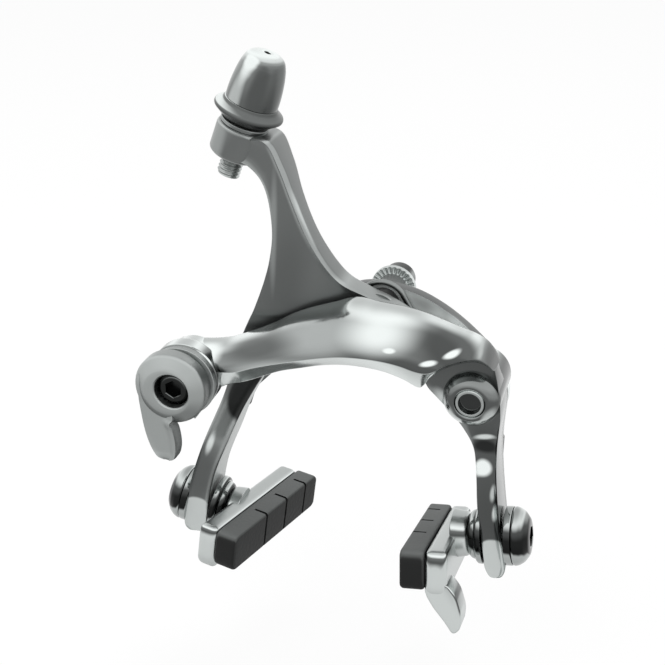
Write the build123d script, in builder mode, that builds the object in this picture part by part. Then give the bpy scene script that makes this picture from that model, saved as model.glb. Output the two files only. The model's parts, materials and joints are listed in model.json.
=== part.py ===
from build123d import *
import os
from math import acos, atan2, cos, hypot, radians, sin

# Dual-pivot caliper brake, in millimetres, with both arms open.
# The mounting bolt lies along Y and the frame seat is at Y = 0. The front of the brake is
# towards -Y, +X is its right side seen from the front, and +Z is up. Most sizes along the
# bolt are given as a distance in front of the frame seat.

# Mounting bolt and what is clamped on it
bolt_radius = 3.0
bolt_clearance = 0.05
washer_radius = 6.0
washer_thickness = 1.6
washer_teeth = 26
tooth_gap = 0.75
tooth_depth = 0.5
nut_radius = 4.3
nut_length = 5.4
nut_distance = 2.2
nut_socket_flats = 5.0
nut_socket_depth = 2.2
boss_radius = 4.2
boss_length = 5.6
bridge_thickness = 4.0
hub_gap = 0.2
bush_wall = 1.15
bush_length = 6.0
lock_washer_radius = 5.2
lock_washer_thickness = 0.9
lock_nut_flats = 8.0
lock_nut_thickness = 3.0

# Rear arm, which turns on the mounting bolt
hub_radius = 8.2
rear_arm_thickness = 7.4
rear_arm_front = 21.0
upper_arm_back = 10.0
left_leg_thickness = 6.6

# Front arm, which turns on the side pivot
pivot_x = 26.6
pivot_z = -15.4
arm_gap = 1.2
arch_thickness = 11.6
arch_bulge = 3.0
arch_bevel = 4.2
hood_radius = 12.6
pivot_boss_radius = 7.4
pivot_cone_height = 2.4
pivot_cone_top = 4.7
pin_radius = 3.0
pin_head_radius = 3.7
pin_head_length = 3.6
pin_socket_radius = 2.85
side_bush_wall = 1.0
right_leg_thickness = 5.8

# Legs and their slots, where the shoes are clamped
leg_back = 16.0
leg_depth = 12.3
slot_width = 6.3
slot_length = 22.0
slot_below = 3.8
left_lean = 11.0
right_lean = 7.5
left_shoe_x = -47.2
left_shoe_z = -60.8
right_shoe_x = 34.1
right_shoe_z = -57.3
stud_radius = 3.0

# Quick-release end of the front arm
anchor_x = -45.8
anchor_z = -16.2
anchor_boss_radius = 9.2
anchor_neck_radius = 7.7
anchor_boss_back = 26.0
anchor_step = 31.0
anchor_boss_front = 35.6
anchor_washer_radius = 9.3
anchor_washer_thickness = 0.8
lever_hub_radius = 9.5
lever_hub_bevel = 2.4
lever_hub_thickness = 6.0
lever_hole_radius = 4.5
lever_offset_x = -1.2
lever_offset_z = -0.4
lever_thickness = 3.6
lever_inset = 0.8
anchor_bolt_radius = 3.0
anchor_head_radius = 4.3
anchor_head_height = 4.6
anchor_socket_flats = 4.0
clamp_plate_thickness = 1.6
anchor_nut_flats = 8.0
anchor_nut_thickness = 4.0

# Cable adjuster in the rear arm's upper boss
adjuster_x = -34.9
adjuster_z = 45.0
adjuster_depth = 15.5
adjuster_lean = 20.2
stop_boss_radius = 6.6
stop_boss_length = 8.4
thread_radius = 2.95
thread_clearance = 0.05
stem_below = 5.2
collar_radius = 6.1
collar_thickness = 1.0
ring_radius = 8.8
ring_height = 5.2
cap_base_radius = 6.6
cap_height = 12.8
core_radius = 4.0
cable_radius = 1.2
adjuster_gap = 0.05

# Return spring and the plastic pads its ends slide on
wire_radius = 0.7
spring_gap = 0.2
spring_left_x = -37.0
spring_left_z = -30.0
spring_right_x = 29.4
spring_right_z = -37.6
slider_width = 5.0
slider_height = 9.0

# Centring screw in the rear arm's tail, above a ledge on the front arm
screw_x = 15.6
screw_radius = 2.0
screw_tip_z = -9.7
screw_top_z = -3.6
ledge_gap = 0.5

# Shoes: each pad is placed by the centre of its braking face and three angles
pad_length = 46.0
pad_height = 10.4
pad_thickness = 6.2
pad_corner = 2.4
holder_thickness = 5.6
holder_height = 12.2
holder_drop = 1.0
holder_boss_radius = 5.6
groove_width = 0.8
groove_depth = 4.0
groove_pitch = 11.0
groove_shift = 4.5
hollow_washer_radius = 7.7
hollow_washer_height = 1.9
inner_washer_height = 1.8
inner_dome_radius = 6.6
inner_dome_height = 1.8
shoe_nut_radius = 7.7
shoe_nut_height = 4.4
shoe_nut_flats = 5.0
shoe_nut_socket_depth = 1.8
fin_length = 9.0
fin_drop = 10.2
left_pad_x = -26.3
left_pad_z = -64.6
left_toe_out = 10.5
left_pitch = -6.8
right_pad_x = 12.9
right_pad_z = -64.1
right_toe_out = -1.2
right_pitch = -16.8
shoe_roll = 5.5

# Stations along the bolt, in front of the frame seat
bridge_back = washer_thickness + boss_length
bridge_front = bridge_back + bridge_thickness
hub_back = bridge_front + hub_gap
rear_arm_back = rear_arm_front - rear_arm_thickness
bush_front = bridge_front + bush_length
lock_washer_front = bush_front + lock_washer_thickness
lock_nut_front = lock_washer_front + lock_nut_thickness
bolt_front = lock_nut_front + 0.3
front_arm_back = rear_arm_front + arm_gap
front_arm_front = front_arm_back + arch_thickness
leg_front = leg_back + leg_depth
shoe_station = leg_back + leg_depth / 2
spring_station = bridge_front + spring_gap + wire_radius
slider_back = spring_station + wire_radius + 0.1
bush_radius = bolt_radius + bolt_clearance + bush_wall
side_bush_radius = pin_radius + bolt_clearance + side_bush_wall
pin_head_back = leg_front - 1.2
ledge_z = screw_tip_z - ledge_gap


def front(distance):
    """The upright plane this far in front of the frame seat, facing forwards."""
    return Plane.XZ.offset(distance)


def at_front(x, z, distance):
    """A forward-facing plane with its origin on an axis parallel to the bolt."""
    return Plane(origin=(x, -distance, z), x_dir=(1, 0, 0), z_dir=(0, -1, 0))


def turned(plane, profile):
    """A turned piece: the (radius, height) profile revolved about the plane's normal."""
    side = Plane(origin=plane.origin, x_dir=plane.x_dir, z_dir=-plane.y_dir)
    with BuildPart() as piece:
        with BuildSketch(side):
            with BuildLine():
                Polyline(*profile, close=True)
            make_face()
        revolve(axis=Axis(plane.origin, plane.z_dir))
    return piece.part


def finish(piece, name):
    """Label the piece and write its file."""
    piece.label = name
    export_step(piece, f"parts/{name}.step")


os.makedirs("parts", exist_ok=True)

# Mounting bolt, washer and nut
with BuildPart() as toothed_washer:
    with BuildSketch(front(0)):
        Circle(washer_radius)
        Circle(bolt_radius + bolt_clearance, mode=Mode.SUBTRACT)
    extrude(amount=washer_thickness)
    with BuildSketch(front(washer_thickness)):
        with PolarLocations((washer_radius + boss_radius) / 2 + 0.3, washer_teeth):
            Rectangle(washer_radius - boss_radius, tooth_gap)
    extrude(amount=-tooth_depth, mode=Mode.SUBTRACT)
finish(toothed_washer.part, "toothed_washer")

nut_back = nut_distance + nut_length
nut_thread_end = nut_back - nut_socket_depth
with BuildPart() as mounting_nut:
    with BuildSketch(front(-nut_distance)):
        Circle(nut_radius)
        Circle(bolt_radius + bolt_clearance, mode=Mode.SUBTRACT)
    extrude(amount=nut_distance - nut_thread_end)
    with BuildSketch(front(-nut_thread_end)):
        Circle(nut_radius)
        RegularPolygon(nut_socket_flats / 2, 6, major_radius=False, mode=Mode.SUBTRACT)
    extrude(amount=-nut_socket_depth)
    rim = mounting_nut.edges().filter_by(GeomType.CIRCLE).sort_by(Axis.Y)[-1]
    chamfer(rim, 0.6)
finish(mounting_nut.part, "mounting_nut")

with BuildPart() as mounting_bolt:
    with BuildSketch(front(-nut_thread_end)):
        Circle(bolt_radius)
    extrude(amount=bolt_front + nut_thread_end)
    chamfer(mounting_bolt.edges().filter_by(GeomType.CIRCLE), 0.4)
finish(mounting_bolt.part, "mounting_bolt")

# Bridge plate: carries the side pivot on the mounting bolt
with BuildPart() as bridge_plate:
    with BuildSketch(front(bridge_back)):
        with BuildLine():
            top = Spline((-6.5, 4.4), (0, 5.0), (8.3, 3.6), (15, 0.6), (23.7, -5.7), (30.3, -12.7),
                         (33.3, -20.0))
            lower = ThreePointArc(top @ 1, (32.0, -26.2), (27.2, -26.6))
            under = Spline(lower @ 1, (17.0, -20.0), (8.4, -9.6), (0, -5.2), (-6.0, -5.2),
                           tangents=((-1, 0.25), (-1, 0)))
            ThreePointArc(under @ 1, (-10.6, -0.4), top @ 0)
        make_face()
    extrude(amount=bridge_thickness)
    fillet(bridge_plate.faces().filter_by(Axis.Y).edges(), 1.1)
    with BuildSketch(front(washer_thickness)):
        Circle(boss_radius)
    extrude(amount=boss_length + 1.0)
    with BuildSketch(front(washer_thickness)):
        Circle(bolt_radius + bolt_clearance)
        with Locations((pivot_x, pivot_z)):
            Circle(pin_radius + bolt_clearance)
    extrude(amount=bridge_front, mode=Mode.SUBTRACT)
finish(bridge_plate.part, "bridge_plate")

centre_bush = turned(front(0), [(bolt_radius + bolt_clearance, bridge_front), (bush_radius, bridge_front),
                                (bush_radius, bush_front), (bolt_radius + bolt_clearance, bush_front)])
finish(centre_bush, "centre_bush")

centre_washer = turned(front(0), [(bolt_radius + bolt_clearance, bush_front),
                                  (lock_washer_radius, bush_front),
                                  (lock_washer_radius, lock_washer_front),
                                  (bolt_radius + bolt_clearance, lock_washer_front)])
finish(centre_washer, "centre_washer")

with BuildPart() as centre_lock_nut:
    with BuildSketch(front(lock_washer_front)):
        RegularPolygon(lock_nut_flats / 2, 6, major_radius=False)
        Circle(bolt_radius + bolt_clearance, mode=Mode.SUBTRACT)
    extrude(amount=lock_nut_thickness)
finish(centre_lock_nut.part, "centre_lock_nut")

# Side pivot screw: shank, wide head and a round socket
pin = at_front(pivot_x, pivot_z, 0)
pin_head_front = pin_head_back + pin_head_length
side_pivot_screw = turned(pin, [(0, bridge_back - 0.6), (pin_radius - 0.5, bridge_back - 0.6),
                                (pin_radius, bridge_back), (pin_radius, pin_head_back),
                                (pin_head_radius, pin_head_back),
                                (pin_head_radius, pin_head_front - 0.4),
                                (pin_head_radius - 0.4, pin_head_front),
                                (pin_socket_radius, pin_head_front),
                                (pin_socket_radius - 0.2, pin_head_front - 2.2),
                                (0, pin_head_front - 2.6)])
finish(side_pivot_screw, "side_pivot_screw")

side_bush = turned(pin, [(pin_radius + bolt_clearance, hub_back + 0.1), (side_bush_radius, hub_back + 0.1),
                         (side_bush_radius, pin_head_back - 0.1),
                         (pin_radius + bolt_clearance, pin_head_back - 0.1)])
finish(side_bush, "side_bush")


def leg_plane(x, z, lean, station, side):
    """Plane on the leg's middle at the shoe bolt, its normal along the bolt to the outside."""
    angle = radians(lean)
    return Plane(origin=(x, -station, z), x_dir=(0, -1, 0),
                 z_dir=(side * cos(angle), 0, sin(angle)))


def slot_cut(bolt):
    """The upright slot for the shoe's stud, with the stud near its lower end."""
    rise = slot_length / 2 - slot_below
    start = bolt.origin + bolt.y_dir * rise * (1 if bolt.y_dir.Z > 0 else -1)
    with BuildPart() as cut:
        with BuildSketch(Plane(origin=start, x_dir=bolt.x_dir, z_dir=bolt.z_dir).offset(-15)):
            SlotOverall(slot_length, slot_width, rotation=90)
        extrude(amount=30)
    return cut.part


def seat_cuts(bolt, thickness):
    """Flat round seats for the washers on both sides of a leg."""
    with BuildPart() as cut:
        with BuildSketch(bolt.offset(thickness / 2), bolt.offset(-thickness / 2 - 4)):
            Circle(hollow_washer_radius + 0.4)
        extrude(amount=4)
    return cut.part


def on_leg(bolt, outwards, down):
    """A point of a leg's outline, from its shoe bolt outwards and down along the leg."""
    axis = bolt.z_dir
    side = 1 if axis.X > 0 else -1
    return (bolt.origin.X + outwards * axis.X + down * side * axis.Z,
            bolt.origin.Z + outwards * axis.Z - down * abs(axis.X))


left_bolt = leg_plane(left_shoe_x, left_shoe_z, left_lean, shoe_station, -1)
right_bolt = leg_plane(right_shoe_x, right_shoe_z, right_lean, shoe_station, 1)
left_half = left_leg_thickness / 2
right_half = right_leg_thickness / 2
left_slot = slot_cut(left_bolt)
left_seats = seat_cuts(left_bolt, left_leg_thickness)
right_slot = slot_cut(right_bolt)
right_seats = seat_cuts(right_bolt, right_leg_thickness)


# Rear arm: cable stop boss at the top, hub in the middle, left leg below
lean = radians(adjuster_lean)
stop_axis = Plane(origin=(adjuster_x, -adjuster_depth, adjuster_z), x_dir=(cos(lean), 0, -sin(lean)),
                  z_dir=(sin(lean), 0, cos(lean)))
stop_boss = turned(stop_axis, [(0, -stop_boss_length), (stop_boss_radius, -stop_boss_length),
                               (stop_boss_radius, -0.8), (stop_boss_radius - 0.8, 0), (0, 0)])

with BuildPart() as rear_leg_side:
    with BuildSketch(Plane.YZ.offset(-80)):
        with BuildLine():
            Polyline((-rear_arm_front, 60), (-rear_arm_front, -27), (-leg_front, -42), (-leg_front, -90),
                     (-leg_back, -90), (-leg_back, -42), (-rear_arm_back, -34), (-rear_arm_back, 13),
                     (-upper_arm_back, 24), (-upper_arm_back, 60), close=True)
        make_face()
    extrude(amount=120)

with BuildPart() as y_arm:
    with BuildSketch(front(upper_arm_back)):
        with BuildLine():
            outer = Spline((-39.6, 38.0), (-33.3, 37.0), (-29.6, 33.4), (-27.4, 27.4), (-26.6, 19.0),
                           (-27.8, 11.4), (-31.8, 0.2), (-36.2, -12.0), (-39.7, -24.2),
                           on_leg(left_bolt, left_half - 1.5, -21.4), on_leg(left_bolt, left_half, -10.4),
                           on_leg(left_bolt, left_half + 0.2, 4.0))
            foot = ThreePointArc(outer @ 1, on_leg(left_bolt, left_half / 2, 7.7),
                                 on_leg(left_bolt, 1.0 - left_half, 6.7))
            inner = Spline(foot @ 1, on_leg(left_bolt, -left_half, -0.8),
                           on_leg(left_bolt, -left_half, -11.6),
                           on_leg(left_bolt, -left_half - 1.4, -23.1), (-33.8, -27.6),
                           (-26.8, -16.4), (-17.6, -10.0), (-8.0, -8.2), (0, -hub_radius))
            tail = Polyline(inner @ 1, (13.0, -7.4), (18.4, -6.8), (19.2, -4.2), (13.6, -0.8), (9.0, 1.8),
                            (4.6, 5.0))
            Spline(tail @ 1, (-0.6, 6.9), (-5.0, 8.5), (-10.9, 12.2), (-16.2, 19.0), (-21.2, 29.0),
                   (-28.4, 42.6))
            Line((-28.4, 42.6), (-39.6, 38.0))
        make_face()
    extrude(amount=leg_front - upper_arm_back)
    add(rear_leg_side.part, mode=Mode.INTERSECT)
    with BuildSketch(front(hub_back)):
        Circle(bush_radius + 1.0)
    extrude(amount=rear_arm_back - hub_back + 1)
    add(stop_boss)
    with BuildSketch(front(0)):
        Circle(bush_radius + bolt_clearance)
    extrude(amount=rear_arm_front + 1, mode=Mode.SUBTRACT)
    with BuildSketch(front(bush_front - 0.1)):
        Circle(lock_washer_radius + 0.4)
    extrude(amount=rear_arm_front, mode=Mode.SUBTRACT)
    with BuildSketch(stop_axis):
        Circle(thread_radius + thread_clearance)
    extrude(amount=-stop_boss_length - 4, mode=Mode.SUBTRACT)
    with BuildSketch(Plane(origin=(screw_x, -(rear_arm_back + rear_arm_front) / 2, screw_tip_z))):
        Circle(screw_radius + thread_clearance)
    extrude(amount=screw_top_z - screw_tip_z, mode=Mode.SUBTRACT)
    add(left_slot, mode=Mode.SUBTRACT)
    add(left_seats, mode=Mode.SUBTRACT)
finish(y_arm.part, "y_arm")

# Front arm: arch, side pivot boss and right leg
with BuildPart() as front_leg:
    with BuildSketch(front(leg_back)):
        with BuildLine():
            inner = Spline((13.8, -12.6), (20.5, -18.3), (26.3, -25.5), (28.5, -31.0),
                           on_leg(right_bolt, 0.25 - right_half, -15.1),
                           on_leg(right_bolt, 0.2 - right_half, -1.7),
                           on_leg(right_bolt, 0.1 - right_half, 6.0))
            foot = ThreePointArc(inner @ 1, on_leg(right_bolt, 0, 9.6),
                                 on_leg(right_bolt, right_half + 0.2, 6.2))
            outer = Spline(foot @ 1, on_leg(right_bolt, right_half - 0.4, -5.0),
                           on_leg(right_bolt, right_half - 0.3, -17.1), (33.7, -28.0), (34.0, -20.0),
                           (32.4, -13.0), (28.8, -8.6))
            Polyline(outer @ 1, (21.6, -8.6), (21.6, ledge_z), (13.8, ledge_z), inner @ 0)
        make_face()
    extrude(amount=leg_depth)

with BuildPart() as arch_plan:
    with BuildSketch(Plane.XY.offset(-40)):
        with BuildLine():
            face = ThreePointArc((-60, -front_arm_front + 1.0), (-12, -front_arm_front - arch_bulge),
                                 (40, -front_arm_front + 1.5))
            Polyline(face @ 1, (40, -front_arm_back), (-30, -front_arm_back), (-38, -anchor_boss_back),
                     (-60, -anchor_boss_back), face @ 0)
        make_face()
    extrude(amount=60)

cone_front = leg_front + pivot_cone_height
pivot_cone = turned(pin, [(0, leg_front - 1), (pivot_boss_radius, leg_front - 1),
                          (pivot_boss_radius, leg_front), (pivot_cone_top, cone_front), (0, cone_front)])


def round_pivot(angle):
    """A point of the hood's rim, at this angle round the side pivot."""
    turn = radians(angle)
    return pivot_x + hood_radius * cos(turn), pivot_z + hood_radius * sin(turn)


with BuildPart() as c_arm:
    with BuildSketch(front(front_arm_back)):
        with BuildLine():
            upper = Spline((-49.0, -9.6), (-43.0, -9.2), (-37.0, -8.2), (-31.2, -6.0), (-21.6, -0.6),
                           (-10.2, 4.0), (-3.6, 6.2), (3.0, 5.6), (10.5, 4.2), (20.3, 1.2), (28.6, -2.8))
            Line(upper @ 1, round_pivot(79))
            hood = ThreePointArc(round_pivot(79), round_pivot(120), round_pivot(164))
            low = Spline(hood @ 1, (5.3, -9.6), (-5.8, -9.0), (-21.5, -13.0), (-31.9, -17.2), (-38.4, -20.4),
                         (-42.6, -23.6))
            ThreePointArc(low @ 1, (-54.0, -18.6), upper @ 0)
        make_face()
    extrude(amount=arch_thickness + arch_bulge + 1)
    add(arch_plan.part, mode=Mode.INTERSECT)
    long_edges = c_arm.faces().sort_by(Axis.Y)[0].edges().sort_by(SortBy.LENGTH)[-2:].sort_by(Axis.Z)
    chamfer(long_edges[0], arch_bevel)
    add(front_leg.part)
    with BuildSketch(at_front(pivot_x, pivot_z, hub_back + 0.1)):
        Circle(pivot_boss_radius)
    extrude(amount=leg_front - hub_back - 0.1)
    with BuildSketch(at_front(anchor_x, anchor_z, anchor_boss_back)):
        Circle(anchor_neck_radius)
    extrude(amount=anchor_boss_front - anchor_boss_back)
    with BuildSketch(at_front(anchor_x, anchor_z, anchor_step)):
        Circle(anchor_boss_radius)
    extrude(amount=anchor_boss_front - anchor_step)
    add(pivot_cone)
    with BuildSketch(at_front(pivot_x, pivot_z, 0)):
        Circle(side_bush_radius + 0.02)
    extrude(amount=front_arm_front + 10, mode=Mode.SUBTRACT)
    with BuildSketch(at_front(anchor_x, anchor_z, 0)):
        Circle(anchor_bolt_radius + bolt_clearance)
    extrude(amount=front_arm_front + 10, mode=Mode.SUBTRACT)
    with BuildSketch(at_front(anchor_x, anchor_z, anchor_boss_front)):
        Circle(anchor_washer_radius + 1.0)
    extrude(amount=10, mode=Mode.SUBTRACT)
    add(right_slot, mode=Mode.SUBTRACT)
    add(right_seats, mode=Mode.SUBTRACT)
finish(c_arm.part, "c_arm")

# Return spring: a wire over the hub with one end on each leg
coil_radius = bush_radius + 1.0 + spring_gap + wire_radius


def tangent_point(x, z, side):
    """Where a straight wire from (x, z) first touches the spring's round middle."""
    turn = acos(coil_radius / hypot(x, z))
    angle = atan2(z, x) + side * turn
    return coil_radius * cos(angle), coil_radius * sin(angle)


left_end = (spring_left_x, spring_left_z)
right_end = (spring_right_x, spring_right_z)
with BuildPart() as return_spring:
    with BuildLine(front(spring_station)) as wire:
        arc_start = tangent_point(*left_end, -1)
        arc_end = tangent_point(*right_end, 1)
        Line(left_end, arc_start)
        ThreePointArc(arc_start, (0, coil_radius), arc_end)
        Line(arc_end, right_end)
    with BuildSketch(Plane(origin=wire.line @ 0, z_dir=wire.line % 0)):
        Circle(wire_radius)
    sweep()
finish(return_spring.part, "return_spring")


def slider(x, z, front_station, lean, name):
    """A plastic pad on the back of a leg, which the wire's end slides on."""
    with BuildPart() as block:
        with BuildSketch(at_front(x, z, slider_back)):
            RectangleRounded(slider_width, slider_height, 1.0, rotation=lean)
        extrude(amount=front_station - slider_back)
    finish(block.part, name)


slider(spring_left_x - 0.6, spring_left_z + 0.6, rear_arm_back, -left_lean * 1.6, "left_spring_slider")
slider(spring_right_x + 1.5, spring_right_z + 1.0, leg_back, 0, "right_spring_slider")

# Cable adjuster, along the stop boss's axis
with BuildPart() as adjuster_washer:
    with BuildSketch(stop_axis.offset(adjuster_gap)):
        Circle(collar_radius)
        Circle(thread_radius + thread_clearance, mode=Mode.SUBTRACT)
    extrude(amount=collar_thickness)
    top_edges = adjuster_washer.edges().group_by(Axis(stop_axis.origin, stop_axis.z_dir))[-1]
    chamfer(top_edges.sort_by(SortBy.RADIUS)[-1], 0.3)
finish(adjuster_washer.part, "adjuster_washer")

ring_base = adjuster_gap + collar_thickness + adjuster_gap
cap_base = ring_base + ring_height
cap_top = cap_base + cap_height
adjuster_barrel = turned(stop_axis, [(cable_radius, -stop_boss_length - stem_below),
                                     (thread_radius - 0.5, -stop_boss_length - stem_below),
                                     (thread_radius, -stop_boss_length - stem_below + 0.5),
                                     (thread_radius, ring_base), (core_radius, ring_base),
                                     (core_radius, cap_top - 3.0), (cable_radius, cap_top - 3.0)])
finish(adjuster_barrel, "adjuster_barrel")

with BuildPart() as adjuster_ring:
    with BuildSketch(Plane(origin=stop_axis.origin, x_dir=stop_axis.x_dir, z_dir=-stop_axis.y_dir)):
        with BuildLine():
            Polyline((core_radius, cap_base), (core_radius, ring_base), (collar_radius - 0.6, ring_base))
            Line((collar_radius - 0.6, ring_base), (ring_radius - 0.9, ring_base + 1.9))
            ThreePointArc((ring_radius - 0.9, ring_base + 1.9), (ring_radius, ring_base + 2.9),
                          (ring_radius - 0.9, ring_base + 3.8))
            ThreePointArc((ring_radius - 0.9, ring_base + 3.8), (cap_base_radius + 0.7, cap_base - 0.9),
                          (cap_base_radius + 0.1, cap_base))
            Line((cap_base_radius + 0.1, cap_base), (core_radius, cap_base))
        make_face()
    revolve(axis=Axis(stop_axis.origin, stop_axis.z_dir))
finish(adjuster_ring.part, "adjuster_ring")

with BuildPart() as adjuster_cap:
    with BuildSketch(Plane(origin=stop_axis.origin, x_dir=stop_axis.x_dir, z_dir=-stop_axis.y_dir)):
        with BuildLine():
            Polyline((cable_radius, cap_top), (cable_radius, cap_top - 3.0), (core_radius, cap_top - 3.0),
                     (core_radius, cap_base), (cap_base_radius, cap_base))
            side = Spline((cap_base_radius, cap_base), (cap_base_radius - 0.25, cap_base + 3.4),
                          (cap_base_radius - 1.1, cap_base + 8.0), (cap_base_radius - 2.2, cap_base + 11.2),
                          (cap_base_radius - 3.4, cap_top - 0.5), (cable_radius, cap_top),
                          tangents=((0, 1), (-1, 0.04)))
        make_face()
    revolve(axis=Axis(stop_axis.origin, stop_axis.z_dir))
finish(adjuster_cap.part, "adjuster_cap")

# Quick-release lever, anchor bolt and cable clamp on the front arm's left end
clamp_front = anchor_boss_front + clamp_plate_thickness
anchor_washer_front = clamp_front + anchor_washer_thickness
lever_back = anchor_washer_front + adjuster_gap
lever_front = lever_back + lever_hub_thickness
hub_x = anchor_x + lever_offset_x
hub_z = anchor_z + lever_offset_z

with BuildPart() as cable_clamp:
    with BuildSketch(at_front(anchor_x, anchor_z, anchor_boss_front)):
        Circle(anchor_washer_radius - 0.4)
        with BuildLine():
            Polyline((0.0, -8.4), (3.2, -10.6), (6.4, -6.0), close=True)
        make_face()
        Circle(anchor_bolt_radius + bolt_clearance, mode=Mode.SUBTRACT)
    extrude(amount=clamp_plate_thickness)
finish(cable_clamp.part, "cable_clamp")

with BuildPart() as anchor_washer:
    with BuildSketch(at_front(anchor_x, anchor_z, clamp_front)):
        Circle(anchor_washer_radius)
        Circle(anchor_bolt_radius + bolt_clearance, mode=Mode.SUBTRACT)
    extrude(amount=anchor_washer_thickness)
finish(anchor_washer.part, "anchor_washer")

with BuildPart() as qr_lever:
    with BuildSketch(at_front(hub_x, hub_z, lever_back)):
        Circle(lever_hub_radius)
    extrude(amount=lever_hub_thickness)
    hub_rim = qr_lever.edges().filter_by(GeomType.CIRCLE).sort_by(Axis.Y)[0]
    chamfer(hub_rim, 1.3, lever_hub_bevel, reference=qr_lever.faces().sort_by(Axis.Y)[0])
    with BuildSketch(at_front(hub_x, hub_z, lever_front - lever_inset - lever_thickness)):
        with BuildLine():
            edge = Spline((-8.2, 3.4), (-7.9, -4.1), (-6.9, -12.0), (-5.2, -17.6))
            tip = ThreePointArc(edge @ 1, (-1.9, -20.4), (1.1, -18.4))
            back = Spline(tip @ 1, (1.4, -14.2), (0.5, -10.6), (-0.2, -9.0), (0.6, -6.8))
            Polyline(back @ 1, (0, 0), edge @ 0)
        make_face()
    extrude(amount=lever_thickness)
    with BuildSketch(at_front(anchor_x, anchor_z, lever_back)):
        Circle(lever_hole_radius)
    extrude(amount=lever_hub_thickness + 1, mode=Mode.SUBTRACT)
finish(qr_lever.part, "qr_lever")

with BuildPart() as anchor_bolt:
    with BuildSketch(at_front(anchor_x, anchor_z, anchor_washer_front)):
        Circle(anchor_head_radius)
    extrude(amount=anchor_head_height)
    with BuildSketch(at_front(anchor_x, anchor_z, anchor_boss_back - anchor_nut_thickness)):
        Circle(anchor_bolt_radius)
    extrude(amount=anchor_washer_front - anchor_boss_back + anchor_nut_thickness)
    with BuildSketch(at_front(anchor_x, anchor_z, anchor_washer_front + anchor_head_height)):
        RegularPolygon(anchor_socket_flats / 2, 6, major_radius=False)
    extrude(amount=-2.6, mode=Mode.SUBTRACT)
    chamfer(anchor_bolt.edges().filter_by(GeomType.CIRCLE).sort_by(Axis.Y)[0], 0.9)
finish(anchor_bolt.part, "anchor_bolt")

with BuildPart() as anchor_nut:
    with BuildSketch(at_front(anchor_x, anchor_z, anchor_boss_back - anchor_nut_thickness)):
        RegularPolygon(anchor_nut_flats / 2, 6, major_radius=False)
        Circle(anchor_bolt_radius + bolt_clearance, mode=Mode.SUBTRACT)
    extrude(amount=anchor_nut_thickness)
finish(anchor_nut.part, "anchor_nut")

# Centring screw, upright in the rear arm's tail
with BuildPart() as centring_screw:
    with BuildSketch(Plane(origin=(screw_x, -(rear_arm_back + rear_arm_front) / 2, screw_tip_z))):
        Circle(screw_radius)
    extrude(amount=screw_top_z - screw_tip_z)
finish(centring_screw.part, "centring_screw")


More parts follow.
